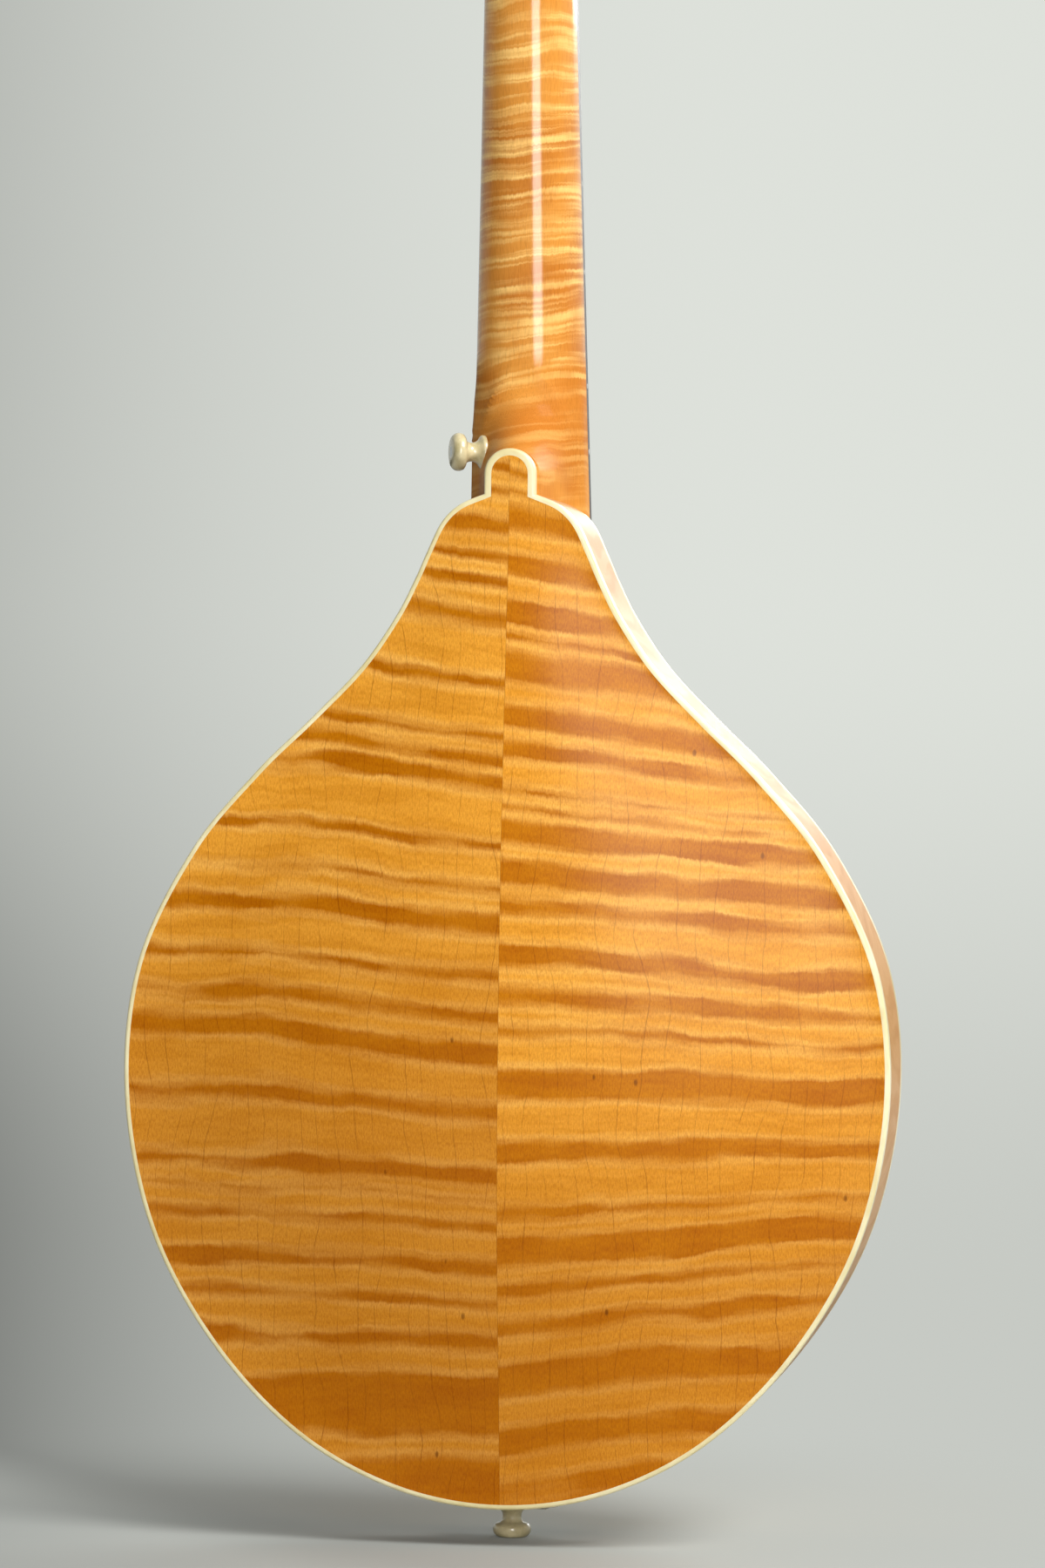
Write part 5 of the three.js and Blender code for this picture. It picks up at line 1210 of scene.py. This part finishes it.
outer_steps = [(6, 1.6), (6.15, 1), (6.6, 0.45), (7.3, 0.12), (8.2, 0), (70.8, 0), (71.7, 0.15), (72, 0.5)]
inner_steps = [(72, 0.7), (71.5, 1), (7.6, 1), (7.1, 1.6)]
cover_rows = [[plate_frame @ p for p in cover_side(shrink, s)] for s, shrink in outer_steps + inner_steps]
points, faces = grid(cover_rows, along=True)
count = len(cover_rows[0])
faces += [tuple(r * count + c for r in range(len(cover_rows))) for c in (0, count - 1)]
wall = [[plate_frame @ Vector((p.x, min(p.y, -0.3), s)) for p in cover_side(1.2, s)] for s in (6.02, 7.1)]
swelling_section = ((0, -7.8), (0.15, -8.15), (0.8, -8.5), (1.8, -8.62))
shells = [(points, faces), capped(wall), pressed(rounded(9.5, 15, 63, 9.4), swelling_section, plate_frame)]
piece("slide_cover", shells, nickel, ["tailpiece_cover"], "tailpiece_cover")

leaf_places = [(side * 11, -(rim_front + 21)) for side in (-1, 1)]
leaf_screws = screws("leaf_screws", leaf_places, 0.0, 3, facing_front(0, 0, tail - 1.35))
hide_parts("tailpiece_screw_bass", "tailpiece_screw_treble")

# The strings
# Eight steel strings in four pairs, the lower two pairs wound with bronze. Each has a loop over its hook at
# the tailpiece, crosses the saddle and the nut, and is wound three times round its post.

steel = Finish("plain_steel", "steel", Metallic=1.0)
sheen = steel.mottle((1, 1, 6), 0.3, 0.7, (206, 208, 212), (176, 178, 182), detail=3)
steel.feed(Roughness=steel.rise(sheen, 0.3, 0.7, 0.2, 0.32))
bronze = Finish("bronze_winding", "wound_bronze", Metallic=1.0)
age = bronze.mottle((1, 1, 9), 0.3, 0.7, (224, 180, 126), (196, 150, 100), detail=3)
# Painted shade: the smooth wire is darker in the grooves between the winding's turns.
painted_groove_shade = ((bronze.spread()[0] / 0.42).part() - 0.5).size()
bronze.stain(painted_groove_shade, 0.32, 0.5, 0.6, (120, 84, 56))
bronze.feed(Roughness=bronze.rise(age, 0.3, 0.7, 0.28, 0.42))


def tube(path, radius, sides=10):
    """A round wire along a path, with its length as a map, whose ring is carried on without a twist."""
    path = [Vector(p) for p in path]
    rings, maps, run = [], [], 0
    side = Vector((1, 0, 0))
    for k, p in enumerate(path):
        way = (path[min(k + 1, len(path) - 1)] - path[max(k - 1, 0)]).normalized()
        side = (side - way * side.dot(way)).normalized()
        other = way.cross(side)
        run += (p - path[k - 1]).length if k else 0
        rings.append([p + (side * math.cos(a) + other * math.sin(a)) * radius for a in around(sides)])
        maps += [(run, c) for c in range(sides)]
    return *capped(rings), maps


def rounded_path(corners, reach, steps=6):
    """A path whose inner corners are eased over a reach on each side."""
    path = [corners[0]]
    for a, b, c in zip(corners, corners[1:], corners[2:]):
        near, far = b + (a - b).normalized() * reach, b + (c - b).normalized() * reach
        shares = [k / steps for k in range(steps + 1)]
        path += [near * (1 - u) ** 2 + b * 2 * u * (1 - u) + far * u**2 for u in shares]
    return path + [corners[-1]]


courses = "gdae"
turns_on_post, steps_a_turn, post_front, nut_lift = 3, 28, -3.6, 1.7
for i, radius in enumerate(string_radii):
    side = -1 if i < 4 else 1
    x, height = tuner_places[i if i < 4 else 11 - i]
    hook_x = (i - 3.5) * hook_pitch
    start = plate_frame @ Vector((hook_x, -2, hook_height + 0.7 + 0.3))
    saddle_x, nut_x = across(i, 11.8, 2.8), across(i, 7.7, 2.4)
    saddle_over = lean @ Vector((saddle_x, -string_lift(saddle_distance) - radius, -saddle_distance))
    nut_over, nut_behind = (lean @ Vector((nut_x, -nut_lift - radius, behind)) for behind in (0, 5))
    reach, rise = 3.3 + radius, 2 * radius + 0.45
    wound = []
    for share in [k / steps_a_turn for k in range(turns_on_post * steps_a_turn + 1)]:
        out, up = reach * math.cos(2 * math.pi * share), reach * math.sin(2 * math.pi * share)
        front = post_front - radius - rise * share
        wound.append(peghead_frame @ Vector((x - side * out, front, height + up)))
    last, way = wound[-1], wound[-1] - wound[-2]
    inside = peghead_frame @ Vector((x, post_front - radius - rise * turns_on_post, height))
    path = rounded_path([start, saddle_over, nut_over, nut_behind, wound[0]], 1.2)[:-1] + wound
    path += [last.lerp(inside, share) + way * (0.5 - share) for share in (0.15, 0.4)] + [inside]
    loop = []
    for angle in [2 * math.pi * k / 24 for k in range(25)]:
        out, up = 1.55 * math.sin(angle), 1.5 * math.cos(angle)
        loop.append(plate_frame @ Vector((hook_x + out, -2, hook_height + up)))
    name = f"{courses[i // 2]}_string_{i % 2 + 1}"
    wire = bronze if i < 4 else steel
    near_saddle, hook_end, nut_end = path[4] * mm, start * mm, nut_over * mm
    behind = piece("wire_behind_" + name, [tube(path[:5], radius)], wire, body=None)
    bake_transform(behind)
    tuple(hook_end)
    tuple(near_saddle)
    ahead = piece("wire_" + name, [tube(path[4:], radius)], wire, [name], body=None)
    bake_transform(ahead)
    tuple(near_saddle)
    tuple(nut_end)
    piece("loop_" + name, [tube(loop, min(radius, 0.3), 8)], steel)

# Inside the body
# Blocks, linings and tone bars of plain pale wood, glued in, and the steel truss rod with its brass nut.

inside_wood = Finish("bare_inner_wood", "inner_wood", Roughness=0.75)
inside_wood.mottle((1.1, 1.1, 40), 0.3, 0.7, (222, 190, 142), (196, 158, 106), detail=3)
inside = ("neck_block", "top_lining", "back_lining", "tail_block", "tone_bar_bass", "tone_bar_treble")
for nodes, finish in ((inside, inside_wood), (["truss_rod"], steel), (["truss_rod_nut"], brass)):
    for slot in [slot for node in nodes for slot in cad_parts[node].material_slots]:
        slot.material = finish.material

# The floor and the light
# A pale grey-green paper floor that runs out of sight into a background of its own colour, which is darker
# down to the left of the camera's view with painted shade and a painted shadow of the instrument. The lamps
# are soft, on the back's side and on the front's.

viewpoint = Vector((-314.5, 2187.1, -233.4)) * mm
floor_level = cad_box[0][2]


class Room(Nodes):
    """The tree of a stage material or of the world, with the background's colour in it."""

    def paper(self, across, upwards):
        """The background's colour by how far across and up from the photographed view's middle line it is."""
        # Painted shade: darker low down and to the left, with a painted shadow of the instrument above a
        # sloping line.
        far = self.number("ShaderNodeMapRange", {}, [across, 0.1, 0.228, 0.0, 1.0])
        side = 1 - far * far
        height = self.rise(upwards, -0.1, 0.01)
        shade = self.between(height, self.between(side, 0.23, 0.57), self.between(side, 0.49, 0.73))
        # Below this sloping line the painted shadow ends and the floor's paler tone begins.
        below_painted_shadow = self.rise(upwards - (across - 0.177) * 0.23, -0.138, -0.147)
        shade = self.between(below_painted_shadow, shade, self.between(side, 0.44, 0.62))
        shade = self.between(self.rise((across - 0.143).size(), 0.09, 0.2), shade, 0.62)
        return self.node("ShaderNodeCombineColor", {}, [shade, shade * 1.035, shade * 0.97]).outputs[0]

    def between(self, share, first, second):
        return (second - first) * share + first

    def mixed(self, share, first, second):
        """One shader or another, by a share."""
        return self.node("ShaderNodeMixShader", {}, [share, first.outputs[0], second.outputs[0]])


def emptied(data):
    """A material or a world whose node tree is empty."""
    data.use_nodes = True
    data.node_tree.nodes.clear()
    return data


world = emptied(bpy.data.worlds.new("room"))
bpy.context.scene.world = world
bpy.context.scene.view_settings.view_transform = "Standard"
room = Room(world.node_tree)
way_x, way_y, way_z = room.parts(room.node("ShaderNodeTexCoord").outputs["Generated"])
forward = (way_y * -1).at_least(0.15)
seen = room.paper(way_x / forward, way_z / forward)
rays = room.node("ShaderNodeLightPath").outputs
lit = room.node("ShaderNodeBackground", {}, [(1.0, 1.0, 1.0, 1.0), 0.05])
mirrored_room = room.node("ShaderNodeBackground", {}, [seen, room.rise(way_y, -0.2, 0.5, 1.0, 0.05)])
shown = room.node("ShaderNodeBackground", {}, [seen, 1.0])
sky = room.mixed(rays["Is Camera Ray"], room.mixed(rays["Is Glossy Ray"], lit, mirrored_room), shown)
room.node("ShaderNodeOutputWorld", {}, {"Surface": sky.outputs[0]})

floor_turns = around(96)
paper_mesh = bpy.data.meshes.new("paper_floor")
rings = [
    [Vector((math.cos(a), math.sin(a), 0)) * radius + Vector((0, 0, floor_level)) for a in floor_turns]
    for radius in (0.4, 1, 2, 5, 12, 30, 60)
]
points, faces = grid(rings, around=True)
paper_mesh.from_pydata(points, [], faces + [tuple(range(len(floor_turns)))])
paper_material = emptied(bpy.data.materials.new("paper_floor"))
paper = Room(paper_material.node_tree)
spot_x, spot_y, _ = paper.parts(paper.node("ShaderNodeTexCoord").outputs["Object"])
ahead_of = (viewpoint.y - spot_y).at_least(0.4)
tone = paper.paper((spot_x - viewpoint.x) / ahead_of, (floor_level - viewpoint.z) / ahead_of)
reach = (spot_x * spot_x + spot_y * spot_y).root()
dimmed = paper.node("ShaderNodeVectorMath", {"operation": "SCALE"}, {0: tone, "Scale": 0.74})
matt = paper.node("ShaderNodeBsdfDiffuse", {}, [dimmed.outputs[0]])
# Painted glow: away from the instrument the floor shows the camera the background's colour, painted shade
# included; near it the lit paper keeps the instrument's own shadow.
glow = paper.node("ShaderNodeEmission", {}, [tone, 1.0])
camera_only = Number(paper, paper.node("ShaderNodeLightPath").outputs["Is Camera Ray"])
both = paper.mixed(paper.rise(reach, 0.05, 0.32, 0.1, 1.0) * camera_only, matt, glow)
paper.node("ShaderNodeOutputMaterial", {}, {"Surface": both.outputs[0]})
paper_mesh.materials.append(paper_material)
floor = linked("paper_floor", paper_mesh)

for name, place, aim, size, power in (
    ("soft_box", (-0.47, 2.36, 0.15), (0, 0, -0.15), (0.7, 1.1), 26),
    ("high_right", (-2.1, 1.5, 2.3), (0, 0, -0.1), (1.5, 1.5), 150),
    ("front", (-0.9, -2.2, 0.8), (0, 0, -0.25), (1.6, 1.2), 55),
):
    light = bpy.data.lights.new(name, "AREA")
    light.shape = "RECTANGLE"
    light.size, light.size_y = size
    light.energy = power
    lamp = linked(name, light)
    lamp.location = place
    lamp.rotation_euler = (Vector(aim) - Vector(place)).to_track_quat("-Z", "Y").to_euler()

camera = bpy.data.cameras.new("camera")
camera.sensor_fit, camera.sensor_width, camera.lens = "AUTO", 36, 150.4
yaw, pitch, roll = math.radians(8.2), math.radians(-1.28), math.radians(0.57)
ahead = Vector((math.sin(yaw) * math.cos(pitch), -math.cos(yaw) * math.cos(pitch), math.sin(pitch)))
right = ahead.cross(Vector((0, 0, 1))).normalized()
up = right.cross(ahead)
right, up = math.cos(roll) * right + math.sin(roll) * up, -math.sin(roll) * right + math.cos(roll) * up
place = Matrix((right, up, -ahead)).transposed().to_4x4()
place.translation = viewpoint
viewer = linked("camera", camera)
viewer.matrix_world = place
bpy.context.scene.camera = viewer
